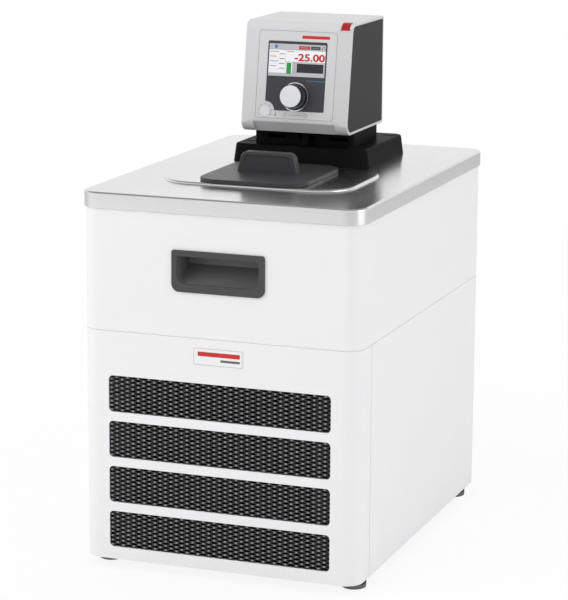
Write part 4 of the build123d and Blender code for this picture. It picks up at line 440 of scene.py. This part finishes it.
def strand_section():
    """Four corners of a strand's section as (depth, height), leaning back so that it faces up and out."""
    along = Vector((math.sin(STRAND_LEAN), math.cos(STRAND_LEAN))) * STRAND_W / 2
    across = Vector((-math.cos(STRAND_LEAN), math.sin(STRAND_LEAN))) * STRAND_T / 2
    return [along + across, along - across, -along - across, across - along]


def draw_strand(bm, height, first_up):
    swing = (SHORT_WAY / 2 - STRAND_HEIGHT) / 2
    half = SLOT_W / 2 + MESH_LAP
    count = int(2 * half // (LONG_WAY / 2)) + 1
    section = strand_section()
    last = None
    for i in range(count):
        x = -half + i * LONG_WAY / 2
        z = height + (swing if (i % 2 == 0) == first_up else -swing)
        # The step between a node's two ends is the bond, which gets the second material, the painted
        # highlight
        for end, offset in enumerate((-BOND_HALF, BOND_HALF)):
            here = [bm.verts.new((x + offset, MESH_LOW.y + STRAND_DEPTH + d.x, z + d.y)) for d in section]
            if last:
                skin(bm, last, here, end)
            else:
                close(bm, here[::-1])
            last = here
    close(bm, last)


mesh_middle = (MESH_LOW.z + MESH_HIGH.z) / 2
slot_heights = [mesh_middle + (i - (SLOT_COUNT - 1) / 2) * SLOT_PITCH for i in range(SLOT_COUNT)]
bm = bmesh.new()
for slot_height in slot_heights:
    row_count = int((SLOT_H + 2 * MESH_LAP) // (SHORT_WAY / 2))
    for row in range(row_count):
        row_height = slot_height + (row - (row_count - 1) / 2) * SHORT_WAY / 2
        draw_strand(bm, row_height, row % 2 == 0)
piece("expanded_mesh", bm, LEVEL, "vent_panel", ["mesh_steel", "mesh_bond_highlight"], ["vent_mesh"])

# White lip under the upper casing that closes the seam just behind its face, so that the line between
# the panels stays pale
LIP_IN = 0.7
LIP_T = 0.7
LIP_CLEAR = 0.1
SEAM = 1
CASING_R = 20
casing_w = 2 * max(abs(PANEL_LOW.x), PANEL_HIGH.x)
casing_d = -2 * PANEL_LOW.y
bm = bmesh.new()
lip_rings = []
for inset in (LIP_IN, LIP_IN + LIP_T):
    for level in (PANEL_HIGH.z + LIP_CLEAR, PANEL_HIGH.z + SEAM):
        outline = rounded(casing_w - 2 * inset, casing_d - 2 * inset, CASING_R - inset, steps=CORNER_STEPS)
        lip_rings.append(ring(bm, outline, level))
for first, second in ((0, 1), (1, 3), (3, 2), (2, 0)):
    skin(bm, lip_rings[first], lip_rings[second])
piece("seam_lip", bm, LEVEL, "casing", ["white_paint"])

# Print on the small front plate: a thin frame, a plain red bar and a short grey bar
BADGE_R = 1.5
BADGE_T = 0.7
BADGE_BEVEL = 0.3
BADGE_BEVEL_H = 0.25
BADGE_FRAME_IN = 0.6
BADGE_FRAME_W = 0.35
BADGE_FRAME_R = (1.2, 0.9)
BADGE_FRAME_H = 0.02
BADGE_PRINT_H = 0.08
# Left, right, low and high edge of each bar, from the plate's middle, and its look
BADGE_BARS = ((-24, 26, 0.5, 5.5, 2), (3, 26, -4.9, -2.3, 3))
badge_mid = (0, (BADGE_LOW.z + BADGE_HIGH.z) / 2)
badge_w = BADGE_HIGH.x - BADGE_LOW.x
badge_h = BADGE_HIGH.z - BADGE_LOW.z
bm = bmesh.new()
stack(
    bm, badge_w, badge_h, BADGE_R, [(0, 0), (0, BADGE_T - BADGE_BEVEL_H), (BADGE_BEVEL, BADGE_T)], badge_mid,
)
badge_frame = []
for inset, r in zip((BADGE_FRAME_IN, BADGE_FRAME_IN + BADGE_FRAME_W), BADGE_FRAME_R):
    outline = rounded(badge_w - 2 * inset, badge_h - 2 * inset, r, badge_mid)
    badge_frame.append(ring(bm, outline, BADGE_T + BADGE_FRAME_H))
skin(bm, badge_frame[0], badge_frame[1], 1)
for left, right, low, high, look in BADGE_BARS:
    box_at(bm, left, right, badge_mid[1] + low, badge_mid[1] + high, BADGE_T, BADGE_T + BADGE_PRINT_H, look)
piece(
    "badge", bm, upright(BADGE_HIGH.y), "vent_panel",
    ["white_paint", "print_pale", "print_red", "print_grey"], ["badge_plate"],
)

# Deck: rounded outer edge, raised platform and the bath opening, all one drawn sheet
DECK_R = 22
EDGE_R = 2.5
PLATFORM_W = 230
PLATFORM_FRONT = -149
PLATFORM_BACK = 15
PLATFORM_R = 45
PLATFORM_RISE = 2.5
PLATFORM_EDGE_R = 2.2
PLATFORM_EDGE_IN = 0.4
COVE_IN = 0.25
COVE_H = 0.12
SKIRT_EASE_IN = 0.2
SKIRT_EASE_H = 0.3
BATH_W = 120
BATH_FRONT = -140
BATH_BACK = -10
BATH_R = 14
BATH_LIP = 0.6
SHEET = 1.5
deck_w = DECK_HIGH.x - DECK_LOW.x
deck_d = DECK_HIGH.y - DECK_LOW.y
deck_top = DECK_HIGH.z - PLATFORM_RISE
platform_mid = (0, (PLATFORM_FRONT + PLATFORM_BACK) / 2)
platform_d = PLATFORM_BACK - PLATFORM_FRONT
bath_mid = (0, (BATH_FRONT + BATH_BACK) / 2)
bath_d = BATH_BACK - BATH_FRONT
bm = bmesh.new()
outer_levels = [
    (SHEET, deck_top - SHEET), (SHEET, DECK_LOW.z), (SKIRT_EASE_IN, DECK_LOW.z),
    (0, DECK_LOW.z + SKIRT_EASE_H),
]
deck_rings = stack(
    bm, deck_w, deck_d, DECK_R, outer_levels + edge_levels(deck_top, EDGE_R),
    steps=CORNER_STEPS, caps=(False, False),
)
# The platform's foot rises out of the deck in a small cove
foot_levels = [(0, deck_top), (COVE_IN, deck_top + COVE_H)]
platform_rings = stack(
    bm, PLATFORM_W, platform_d, PLATFORM_R,
    foot_levels + edge_levels(DECK_HIGH.z, PLATFORM_EDGE_R, inset=PLATFORM_EDGE_IN),
    platform_mid, CORNER_STEPS, caps=(False, False),
)
skin(bm, deck_rings[-1], platform_rings[0])
bath_rings = stack(
    bm, BATH_W, bath_d, BATH_R,
    [(0, deck_top - SHEET), (0, DECK_HIGH.z - BATH_LIP), (-BATH_LIP, DECK_HIGH.z)],
    bath_mid, CORNER_STEPS, caps=(False, False),
)
skin(bm, platform_rings[-1], bath_rings[-1])
skin(bm, bath_rings[0], deck_rings[0])
piece("deck", bm, LEVEL, "casing", ["steel"], ["deck_plate"])

# Lid plate with a soft edge, and its plug rim
LID_R = 26
LID_EDGE = 1.6
LID_FOOT_IN = 0.5
LID_FOOT_H = 0.6
RIM_GAP = 1
RIM_T = 2
lid_w = LID_HIGH.x - LID_LOW.x
lid_d = LID_HIGH.y - LID_LOW.y
lid_mid = (0, (LID_LOW.y + LID_HIGH.y) / 2)
bm = bmesh.new()
stack(
    bm, lid_w, lid_d, LID_R,
    [(LID_FOOT_IN, DECK_HIGH.z), (0, DECK_HIGH.z + LID_FOOT_H)] + edge_levels(LID_HIGH.z, LID_EDGE),
    lid_mid, CORNER_STEPS,
)
rim_rings = []
rim_in = RIM_GAP + RIM_T
for inset, level in (
    (RIM_GAP, DECK_HIGH.z), (RIM_GAP, LID_LOW.z), (rim_in, LID_LOW.z), (rim_in, DECK_HIGH.z),
):
    outline = rounded(BATH_W - 2 * inset, bath_d - 2 * inset, BATH_R - inset, bath_mid)
    rim_rings.append(ring(bm, outline, level))
for first, second in zip(rim_rings, rim_rings[1:]):
    skin(bm, first, second)
piece("lid_plate", bm, LEVEL, "lid", ["lid"], ["bath_lid"])

# Lid grip: upright bar with rounded shoulders, a raised border round a sunk field on both long faces
# Outlines of a long side, from the flank over the rounded edge and the border to the sunk field: half widths
# at the foot and the top, rise from the lid, drop from the top, radii of shoulders and feet, depth
GRIP_SIDE = (
    (36.5, 33, 0, 0, 8, 0.3, 1.6),
    (36.1, 32.6, 0, 0.4, 8, 0.3, 0.5),
    (35.1, 31.6, 0.01, 1.4, 7, 0.3, 0),
    (28.5, 27.5, 4.2, 3.8, 4.5, 3.5, 0),
    (27.8, 26.8, 4.9, 4.5, 4, 3, 0.8),
)
grip_mid_x = (GRIP_LOW.x + GRIP_HIGH.x) / 2
grip_mid_y = (GRIP_LOW.y + GRIP_HIGH.y) / 2
grip_half_d = (GRIP_HIGH.y - GRIP_LOW.y) / 2


def grip_outline(base_half, top_half, low, high, shoulder, foot, steps=6):
    """Side view of the bar, from its lower right corner round over the top."""
    points = []
    corners = ((base_half, low, foot, -90), (top_half, high, shoulder, 0))
    for half, level, r, start in corners:
        cy = level + r if start < 0 else level - r
        for i in range(steps + 1):
            a = math.radians(start + 90 * i / steps)
            points.append((half - r + r * math.cos(a), cy + r * math.sin(a)))
    left = [(-x, y) for x, y in reversed(points)]
    return [(grip_mid_x + x, y) for x, y in points + left]


bm = bmesh.new()
flanks = []
for side in (-1, 1):
    rings = []
    for base_half, top_half, rise, drop, shoulder, foot, depth in GRIP_SIDE:
        outline = grip_outline(base_half, top_half, LID_HIGH.z + rise, GRIP_HIGH.z - drop, shoulder, foot)
        rings.append(ring(bm, outline, side * (grip_half_d - depth)))
    for low, high in zip(rings, rings[1:]):
        skin(bm, low, high)
    close(bm, rings[-1])
    flanks.append(rings[0])
skin(bm, flanks[0], flanks[1])
piece(
    "lid_grip_bar", bm, axes(RIGHT, UP, BACK, Vector((0, grip_mid_y, 0))), "lid",
    ["lid"], ["lid_grip"],
)

# Bridge: drafted black moulding with rounded edges and two plugs
BRIDGE_R = 14
BRIDGE_EDGE = 3
BRIDGE_DRAFT = math.radians(7.5)
# What the draft takes off over the height of the rounded edge
BRIDGE_EDGE_DRAFT = 0.4
# Inset and rise of the open foot
BRIDGE_FOOT = ((4, 0), (0.2, 0), (0, 0.6))
PLUG_SPOTS = ((-69.5, 52), (69.5, 156))
PLUG_PROFILE = ((7.6, -1), (7.6, 0.25), (6.9, 0.45))
bridge_w = BRIDGE_HIGH.x - BRIDGE_LOW.x
bridge_d = BRIDGE_HIGH.y - BRIDGE_LOW.y
bridge_mid = (0, (BRIDGE_LOW.y + BRIDGE_HIGH.y) / 2)
edge_in = (BRIDGE_HIGH.z - BRIDGE_LOW.z) * math.tan(BRIDGE_DRAFT) - BRIDGE_EDGE_DRAFT
bm = bmesh.new()
stack(
    bm, bridge_w, bridge_d, BRIDGE_R,
    [(inset, BRIDGE_LOW.z + rise) for inset, rise in BRIDGE_FOOT]
    + edge_levels(BRIDGE_HIGH.z, BRIDGE_EDGE, inset=edge_in),
    bridge_mid, CORNER_STEPS, caps=(False, True),
)
for spot in PLUG_SPOTS:
    lathe(bm, [(r, BRIDGE_HIGH.z + h) for r, h in PLUG_PROFILE], spot, 40)
piece("bridge_cover", bm, LEVEL, "casing", ["black"], ["bridge", "bridge_plugs"])

# Screen picture: flat fields on the display, in the face's own measures
SCREEN_LAYER = 0.12
SCREEN_LOOKS = [
    "white_film", "screen_pale", "screen_grey", "screen_red", "screen_slate", "screen_black",
    "screen_green", "screen_blue",
]
# Left, right, low and high edge of the graph
GRAPH = (0.3, 33.2, 72.3, 82.7)
GRID_PITCH_X = 4.1
GRID_PITCH_W = 2.6
GRID_HALF = 0.05
# Left, right, low and high edge, layer and look of each large field
FIELDS = (
    (-35, 35, 67.4, 105.2, 0, "white_film"),
    (-35, 35, 98.6, 105.2, 1, "screen_pale"),
    (-35, 35, 67.4, 71.2, 1, "screen_pale"),
    (-5.4, 35, 71.2, 84.2, 1, "screen_pale"),
    (1.8, 15.2, 99.5, 103.3, 2, "screen_red"),
    (16.4, 28.3, 99.5, 103.3, 2, "screen_slate"),
    (*GRAPH, 2, "screen_black"),
    (-12.4, -6.8, 70.4, 83.4, 2, "screen_green"),
    (-35, 35, 98.3, 98.6, 2, "screen_grey"),
    (-14.2, -13.8, 71.2, 98.3, 1, "screen_pale"),
    (-14, 35, 84.2, 84.5, 1, "screen_grey"),
)
# Short bars where captions stand, with the same columns
CAPTIONS = (
    (3.6, 13.4, 101.1, 101.7, 3, "screen_pale"),
    (18.2, 26.5, 101.1, 101.7, 3, "screen_grey"),
    (-12.5, -4, 96.1, 96.7, 1, "screen_red"),
)
# Entries of the left column: caption, value and rule, with left and right edge and how far the low and the
# high edge lie under the entry's top. Every second caption is shorter.
ENTRY_TOP = 96.2
ENTRY_PITCH = 5.6
ENTRY_CAPTION = (-33.5, -23, 0.75, 0)
ENTRY_SHORTER = 2.5
ENTRY_VALUE = (-22, -15.5, 3.2, 2.4)
ENTRY_RULE = (-34, -15, 3.9, 3.7)
# Scale left of the graph: left, right, low and high edge of its lowest bar
SCALE_BAR = (-4.2, -1.4, 72.6, 73.1)
SCALE_PITCH = 2.4
# Chequered signs at the right end of the header
SIGN_SPOT = (30, 99.9)
SIGN_PITCH = 2
SIGN_SIZE = 1.4
# Blue disc at its left end
DISC_SPOT = (-26.5, 101.8)
DISC_R = 2.1
DISC_STEPS = 28


def field_at(bm, x0, x1, w0, w1, layer, look):
    box_at(bm, x0, x1, w0, w1, layer * SCREEN_LAYER, (layer + 1) * SCREEN_LAYER, SCREEN_LOOKS.index(look))


def entry_line(bm, line, top, look, shorter=0):
    left, right, low, high = line
    field_at(bm, left, right - shorter, top - low, top - high, 1, look)


bm = bmesh.new()
for screen_field in FIELDS:
    field_at(bm, *screen_field)
for row, look in enumerate(("screen_grey", "screen_red", "screen_blue", "screen_grey")):
    entry_top = ENTRY_TOP - row * ENTRY_PITCH
    entry_line(bm, ENTRY_CAPTION, entry_top, look, (row % 2) * ENTRY_SHORTER)
    entry_line(bm, ENTRY_VALUE, entry_top, "screen_red" if row == 1 else "screen_grey")
    entry_line(bm, ENTRY_RULE, entry_top, "screen_pale")
for line in range(1, 8):
    x = GRAPH[0] + line * GRID_PITCH_X
    field_at(bm, x - GRID_HALF, x + GRID_HALF, GRAPH[2], GRAPH[3], 3, "screen_slate")
for line in range(1, 4):
    w = GRAPH[2] + line * GRID_PITCH_W
    field_at(bm, GRAPH[0], GRAPH[1], w - GRID_HALF, w + GRID_HALF, 3, "screen_slate")
for line in range(5):
    left, right, low, high = SCALE_BAR
    field_at(bm, left, right, low + line * SCALE_PITCH, high + line * SCALE_PITCH, 2, "screen_grey")
for row in range(2):
    for column in range(3):
        if (row + column) % 2 == 0:
            x = SIGN_SPOT[0] + column * SIGN_PITCH
            w = SIGN_SPOT[1] + row * SIGN_PITCH
            field_at(bm, x, x + SIGN_SIZE, w, w + SIGN_SIZE, 2, "screen_slate")
for caption in CAPTIONS:
    field_at(bm, *caption)
disc = circle(DISC_R, DISC_SPOT, DISC_STEPS)
plate(bm, disc, SCREEN_LAYER, 3 * SCREEN_LAYER, SCREEN_LOOKS.index("screen_blue"))
piece("screen_picture", bm, FACE, "casing", SCREEN_LOOKS, ["display_screen"])


def number_mesh(text, width, height, centre, low, thickness, embolden):
    """Drawing of a plain number as solid letters that fill the given width and height."""
    curve = bpy.data.curves.new("number", "FONT")
    curve.body = text
    curve.offset = embolden
    # Any thickness does, because the letters are scaled below
    curve.extrude = 0.5
    temp = bpy.data.objects.new("number", curve)
    bpy.context.scene.collection.objects.link(temp)
    bpy.context.view_layer.update()
    mesh = temp.evaluated_get(bpy.context.evaluated_depsgraph_get()).to_mesh()
    drawn = bmesh.new()
    drawn.from_mesh(mesh)
    bpy.data.objects.remove(temp)
    xs = [v.co.x for v in drawn.verts]
    ys = [v.co.y for v in drawn.verts]
    for v in drawn.verts:
        x = (v.co.x - (min(xs) + max(xs)) / 2) / (max(xs) - min(xs)) * width + centre[0]
        y = (v.co.y - (min(ys) + max(ys)) / 2) / (max(ys) - min(ys)) * height + centre[1]
        v.co = (x, y, low + (thickness if v.co.z > 0 else 0))
    return drawn


reading = number_mesh(
    "-25.00", width=37.6, height=8.7, centre=(15.6, 90.0),
    low=SCREEN_LAYER, thickness=2 * SCREEN_LAYER, embolden=0.025,
)
piece("screen_reading", reading, FACE, "casing", ["screen_red"])

# Markings on the light face: line round the membrane, scales of the dial and the flow, drop, bar at the top
PRINT = 0.06
MEMBRANE_W = 96
MEMBRANE_H = 102
MEMBRANE_R = 3
MEMBRANE_MID = (0, 69)
LINE_GAP = 0.05
LINE_T = 0.4
DIAL = Vector((-36, 26))
TICK_COUNT = 7
TICK_START = -30
TICK_STEP = 40
TICK_R = (7.6, 9.6)
TICK_HALF = 0.22
FLOW_W = 22.4
DOT_COUNT = 11
DOT_START = -6.5
DOT_PITCH = 1.62
DOT_R = 0.42
END_SPOTS = (-11.2, 14.4)
END_R = (2.1, 1.7)
DROP_MID = (-23, 21.6)
DROP_R = 1.0
DROP_TIP = (-23, 24.4)
# Left, right, low and high edge of the bar over the screen and of the bar on the dark panel
TOP_BAR = (5, 39, 112, 115.6)
PANEL_BAR = (14, 36, 62.2, 63.6)
PANEL_FACE = 0.3
bm = bmesh.new()
line_rings = []
for reach, r in ((LINE_GAP + LINE_T, MEMBRANE_R + LINE_T), (LINE_GAP, MEMBRANE_R)):
    outline = rounded(MEMBRANE_W + 2 * reach, MEMBRANE_H + 2 * reach, r, MEMBRANE_MID)
    line_rings.append(ring(bm, outline, PRINT))
skin(bm, line_rings[0], line_rings[1], 0)
for tick in range(TICK_COUNT):
    angle = math.radians(TICK_START + tick * TICK_STEP)
    along = Vector((math.cos(angle), math.sin(angle)))
    side = Vector((-math.sin(angle), math.cos(angle))) * TICK_HALF
    inner_point, outer_point = (DIAL + along * r for r in TICK_R)
    corners = [inner_point - side, outer_point - side, outer_point + side, inner_point + side]
    plate(bm, [tuple(c) for c in corners], 0, PRINT, 1)
for dot in range(DOT_COUNT):
    plate(bm, circle(DOT_R, (DOT_START + dot * DOT_PITCH, FLOW_W), 12), 0, PRINT, 1)
for end in END_SPOTS:
    rim, rim_in = (ring(bm, circle(r, (end, FLOW_W), 28), PRINT) for r in END_R)
    skin(bm, rim, rim_in, 1)
turns = [math.radians(200 + 14 * i) for i in range(11)]
drop = [(DROP_MID[0] + DROP_R * math.cos(a), DROP_MID[1] + DROP_R * math.sin(a)) for a in turns]
plate(bm, drop + [DROP_TIP], 0, PRINT, 2)
box_at(bm, *TOP_BAR, 0, PRINT, 3)
piece(
    "face_print", bm, FACE, "casing", ["print_pale", "print_grey", "print_grey", "print_red"],
)
bm = bmesh.new()
box_at(bm, *PANEL_BAR, PANEL_FACE, PANEL_FACE + PRINT)
piece("panel_print", bm, FACE, "casing", ["print_blue"])

# Knob: dark turned body with a light cap. The profiles hold radius and height.
KNOB_CENTRE = (0, 43.8)
KNOB_STEPS = 96
KNOB_PROFILE = (
    (11, 2), (13.6, 2), (14.2, 2.6), (14.2, 13.6), (14.05, 15.2), (13.7, 15.9), (13.3, 16.05), (13.15, 15.7),
)
CAP_PROFILE = ((12.9, 15.2), (12.95, 15.8), (12.7, 16.15), (12.2, 16.28), (0, 16.3))
bm = bmesh.new()
lathe(bm, KNOB_PROFILE, KNOB_CENTRE, KNOB_STEPS)
piece("knob_body", bm, FACE, "knob", ["knob"], ["control_knob"])
bm = bmesh.new()
lathe(bm, CAP_PROFILE, KNOB_CENTRE, KNOB_STEPS)
piece("knob_top", bm, FACE, "knob", ["cap"], ["knob_cap"])

# Feet: dark rubber body with a lighter sole
FOOT_X = 148
FOOT_Y = 195
SOLE_PROFILE = ((12.6, 0), (13.6, 0.5), (13.9, 1.4), (13.9, 5.0))
FOOT_PROFILE = ((13.2, 5.0), (13.2, 5.6), (14, 6.0), (14, 11), (13.4, 12), (4, 12), (4, 17))
bm = bmesh.new()
for x in (-FOOT_X, FOOT_X):
    for y in (-FOOT_Y, FOOT_Y):
        lathe(bm, SOLE_PROFILE, (x, y), 40, 1)
        lathe(bm, FOOT_PROFILE, (x, y), 40, 0)
piece("foot_set", bm, LEVEL, "casing", ["rubber", "foot_grey"], ["feet"])

# Floor, light and camera
FLOOR_HALF = 40
FLOOR_TONE = (0.90, 0.90, 0.90, 1)
WHITE = (1, 1, 1, 1)
# Share of plain white in the floor, near and far, the distances in metres between which it grows, and how
# much of it metal mirrors
FLOOR_WHITE = (0.90, 1)
FLOOR_FADE = (0.4, 2.0)
FLOOR_MIRRORED = 0.05
# The sky's light, and the heights between which the seen sky turns from white to grey
SKY_LIGHT = 0.64
SKY_FADE = (0.25, 0.75)
SKY_TOP = 0.35


def stage_plane(name, half, look):
    mesh = bpy.data.meshes.new(name)
    corners = [(-half, -half, 0), (half, -half, 0), (half, half, 0), (-half, half, 0)]
    mesh.from_pydata(corners, [], [(0, 1, 2, 3)])
    mesh.materials.append(look)
    obj = bpy.data.objects.new(name, mesh)
    bpy.context.scene.collection.objects.link(obj)


def pale_floor():
    """White floor that keeps a soft shadow near the part and turns plain white further out."""
    mat = bpy.data.materials.new("pale floor")
    mat.use_nodes = True
    tree = mat.node_tree
    tree.nodes.remove(tree.nodes["Principled BSDF"])
    diffuse = tree.nodes.new("ShaderNodeBsdfDiffuse")
    diffuse.inputs["Color"].default_value = FLOOR_TONE
    white = tree.nodes.new("ShaderNodeEmission")
    white.inputs["Color"].default_value = WHITE
    share = tree.nodes.new("ShaderNodeMixShader")
    path = tree.nodes.new("ShaderNodeLightPath")
    mirrored = tree.nodes.new("ShaderNodeMath")
    mirrored.operation = "MULTIPLY"
    mirrored.inputs[1].default_value = FLOOR_MIRRORED
    tree.links.new(path.outputs["Is Glossy Ray"], mirrored.inputs[0])
    seen = tree.nodes.new("ShaderNodeMath")
    seen.operation = "MAXIMUM"
    tree.links.new(path.outputs["Is Camera Ray"], seen.inputs[0])
    tree.links.new(mirrored.outputs[0], seen.inputs[1])
    place = tree.nodes.new("ShaderNodeTexCoord")
    reach = tree.nodes.new("ShaderNodeVectorMath")
    reach.operation = "LENGTH"
    far = tree.nodes.new("ShaderNodeMapRange")
    far.inputs["From Min"].default_value = FLOOR_FADE[0]
    far.inputs["From Max"].default_value = FLOOR_FADE[1]
    far.inputs["To Min"].default_value = FLOOR_WHITE[0]
    far.inputs["To Max"].default_value = FLOOR_WHITE[1]
    tree.links.new(place.outputs["Object"], reach.inputs[0])
    tree.links.new(reach.outputs["Value"], far.inputs["Value"])
    weight = tree.nodes.new("ShaderNodeMath")
    weight.operation = "MULTIPLY"
    tree.links.new(seen.outputs[0], weight.inputs[0])
    tree.links.new(far.outputs["Result"], weight.inputs[1])
    tree.links.new(weight.outputs[0], share.inputs[0])
    tree.links.new(diffuse.outputs[0], share.inputs[1])
    tree.links.new(white.outputs[0], share.inputs[2])
    tree.links.new(share.outputs[0], tree.nodes["Material Output"].inputs["Surface"])
    return mat


stage_plane("floor", FLOOR_HALF, pale_floor())

world = bpy.data.worlds.new("studio")
bpy.context.scene.world = world
world.use_nodes = True
tree = world.node_tree
tree.nodes.clear()
fill = tree.nodes.new("ShaderNodeBackground")
fill.inputs["Color"].default_value = WHITE
fill.inputs["Strength"].default_value = SKY_LIGHT
seen_white = tree.nodes.new("ShaderNodeBackground")
seen_white.inputs["Color"].default_value = WHITE
# White round the horizon, and greyer overhead so that rounded metal edges read dark
sky = tree.nodes.new("ShaderNodeTexCoord")
sky_split = tree.nodes.new("ShaderNodeSeparateXYZ")
sky_level = tree.nodes.new("ShaderNodeMapRange")
sky_level.interpolation_type = "SMOOTHSTEP"
sky_level.inputs["From Min"].default_value = SKY_FADE[0]
sky_level.inputs["From Max"].default_value = SKY_FADE[1]
sky_level.inputs["To Min"].default_value = 1
sky_level.inputs["To Max"].default_value = SKY_TOP
tree.links.new(sky.outputs["Generated"], sky_split.inputs[0])
tree.links.new(sky_split.outputs["Z"], sky_level.inputs["Value"])
tree.links.new(sky_level.outputs["Result"], seen_white.inputs["Strength"])
path = tree.nodes.new("ShaderNodeLightPath")
direct = tree.nodes.new("ShaderNodeMath")
direct.operation = "MAXIMUM"
glass = tree.nodes.new("ShaderNodeMath")
glass.operation = "MAXIMUM"
choose = tree.nodes.new("ShaderNodeMixShader")
output = tree.nodes.new("ShaderNodeOutputWorld")
tree.links.new(path.outputs["Is Camera Ray"], direct.inputs[0])
tree.links.new(path.outputs["Is Glossy Ray"], direct.inputs[1])
tree.links.new(direct.outputs[0], glass.inputs[0])
tree.links.new(path.outputs["Is Transmission Ray"], glass.inputs[1])
tree.links.new(glass.outputs[0], choose.inputs[0])
tree.links.new(fill.outputs[0], choose.inputs[1])
tree.links.new(seen_white.outputs[0], choose.inputs[2])
tree.links.new(choose.outputs[0], output.inputs["Surface"])


def soft_light(name, place, target, size, power, mirrored=True):
    """Lamp with a wide face that points at target; mirrored says whether metal shows it."""
    light = bpy.data.lights.new(name, "AREA")
    light.shape = "RECTANGLE"
    light.size = size[0]
    light.size_y = size[1]
    light.energy = power
    obj = bpy.data.objects.new(name, light)
    obj.location = place
    obj.visible_glossy = mirrored
    obj.rotation_euler = (Vector(target) - Vector(place)).to_track_quat("-Z", "Y").to_euler()
    bpy.context.scene.collection.objects.link(obj)


soft_light("key", (-2.1, -2.2, 1.9), (0, 0, 0.25), (2.8, 2.8), 45, False)
soft_light("top", (0.3, 0.2, 2.8), (0, 0, 0.4), (2.8, 2.8), 15, False)
soft_light("right fill", (2.8, -0.3, 1.0), (0, 0, 0.3), (2.2, 2.2), 19)

CAMERA_PLACE = (1.010419, -2.773629, 0.906936)
CAMERA_YAW = 0.3523
CAMERA_PITCH = 0.2102
CAMERA_ROLL = 0.0063
CAMERA_LENS = 152.5335
forward = Vector((
    -math.sin(CAMERA_YAW) * math.cos(CAMERA_PITCH),
    math.cos(CAMERA_YAW) * math.cos(CAMERA_PITCH),
    -math.sin(CAMERA_PITCH),
))
level_right = Vector((math.cos(CAMERA_YAW), math.sin(CAMERA_YAW), 0))
level_up = level_right.cross(forward)
camera_right = math.cos(CAMERA_ROLL) * level_right + math.sin(CAMERA_ROLL) * level_up
camera_up = math.cos(CAMERA_ROLL) * level_up - math.sin(CAMERA_ROLL) * level_right
camera_data = bpy.data.cameras.new("camera")
camera_data.lens = CAMERA_LENS
camera_data.sensor_width = 36
camera_data.clip_end = 50
camera = bpy.data.objects.new("camera", camera_data)
camera.matrix_world = Matrix.Translation(CAMERA_PLACE) @ Matrix(
    (camera_right, camera_up, -forward)
).transposed().to_4x4()
bpy.context.scene.collection.objects.link(camera)
bpy.context.scene.camera = camera
bpy.context.scene.view_settings.view_transform = "Standard"
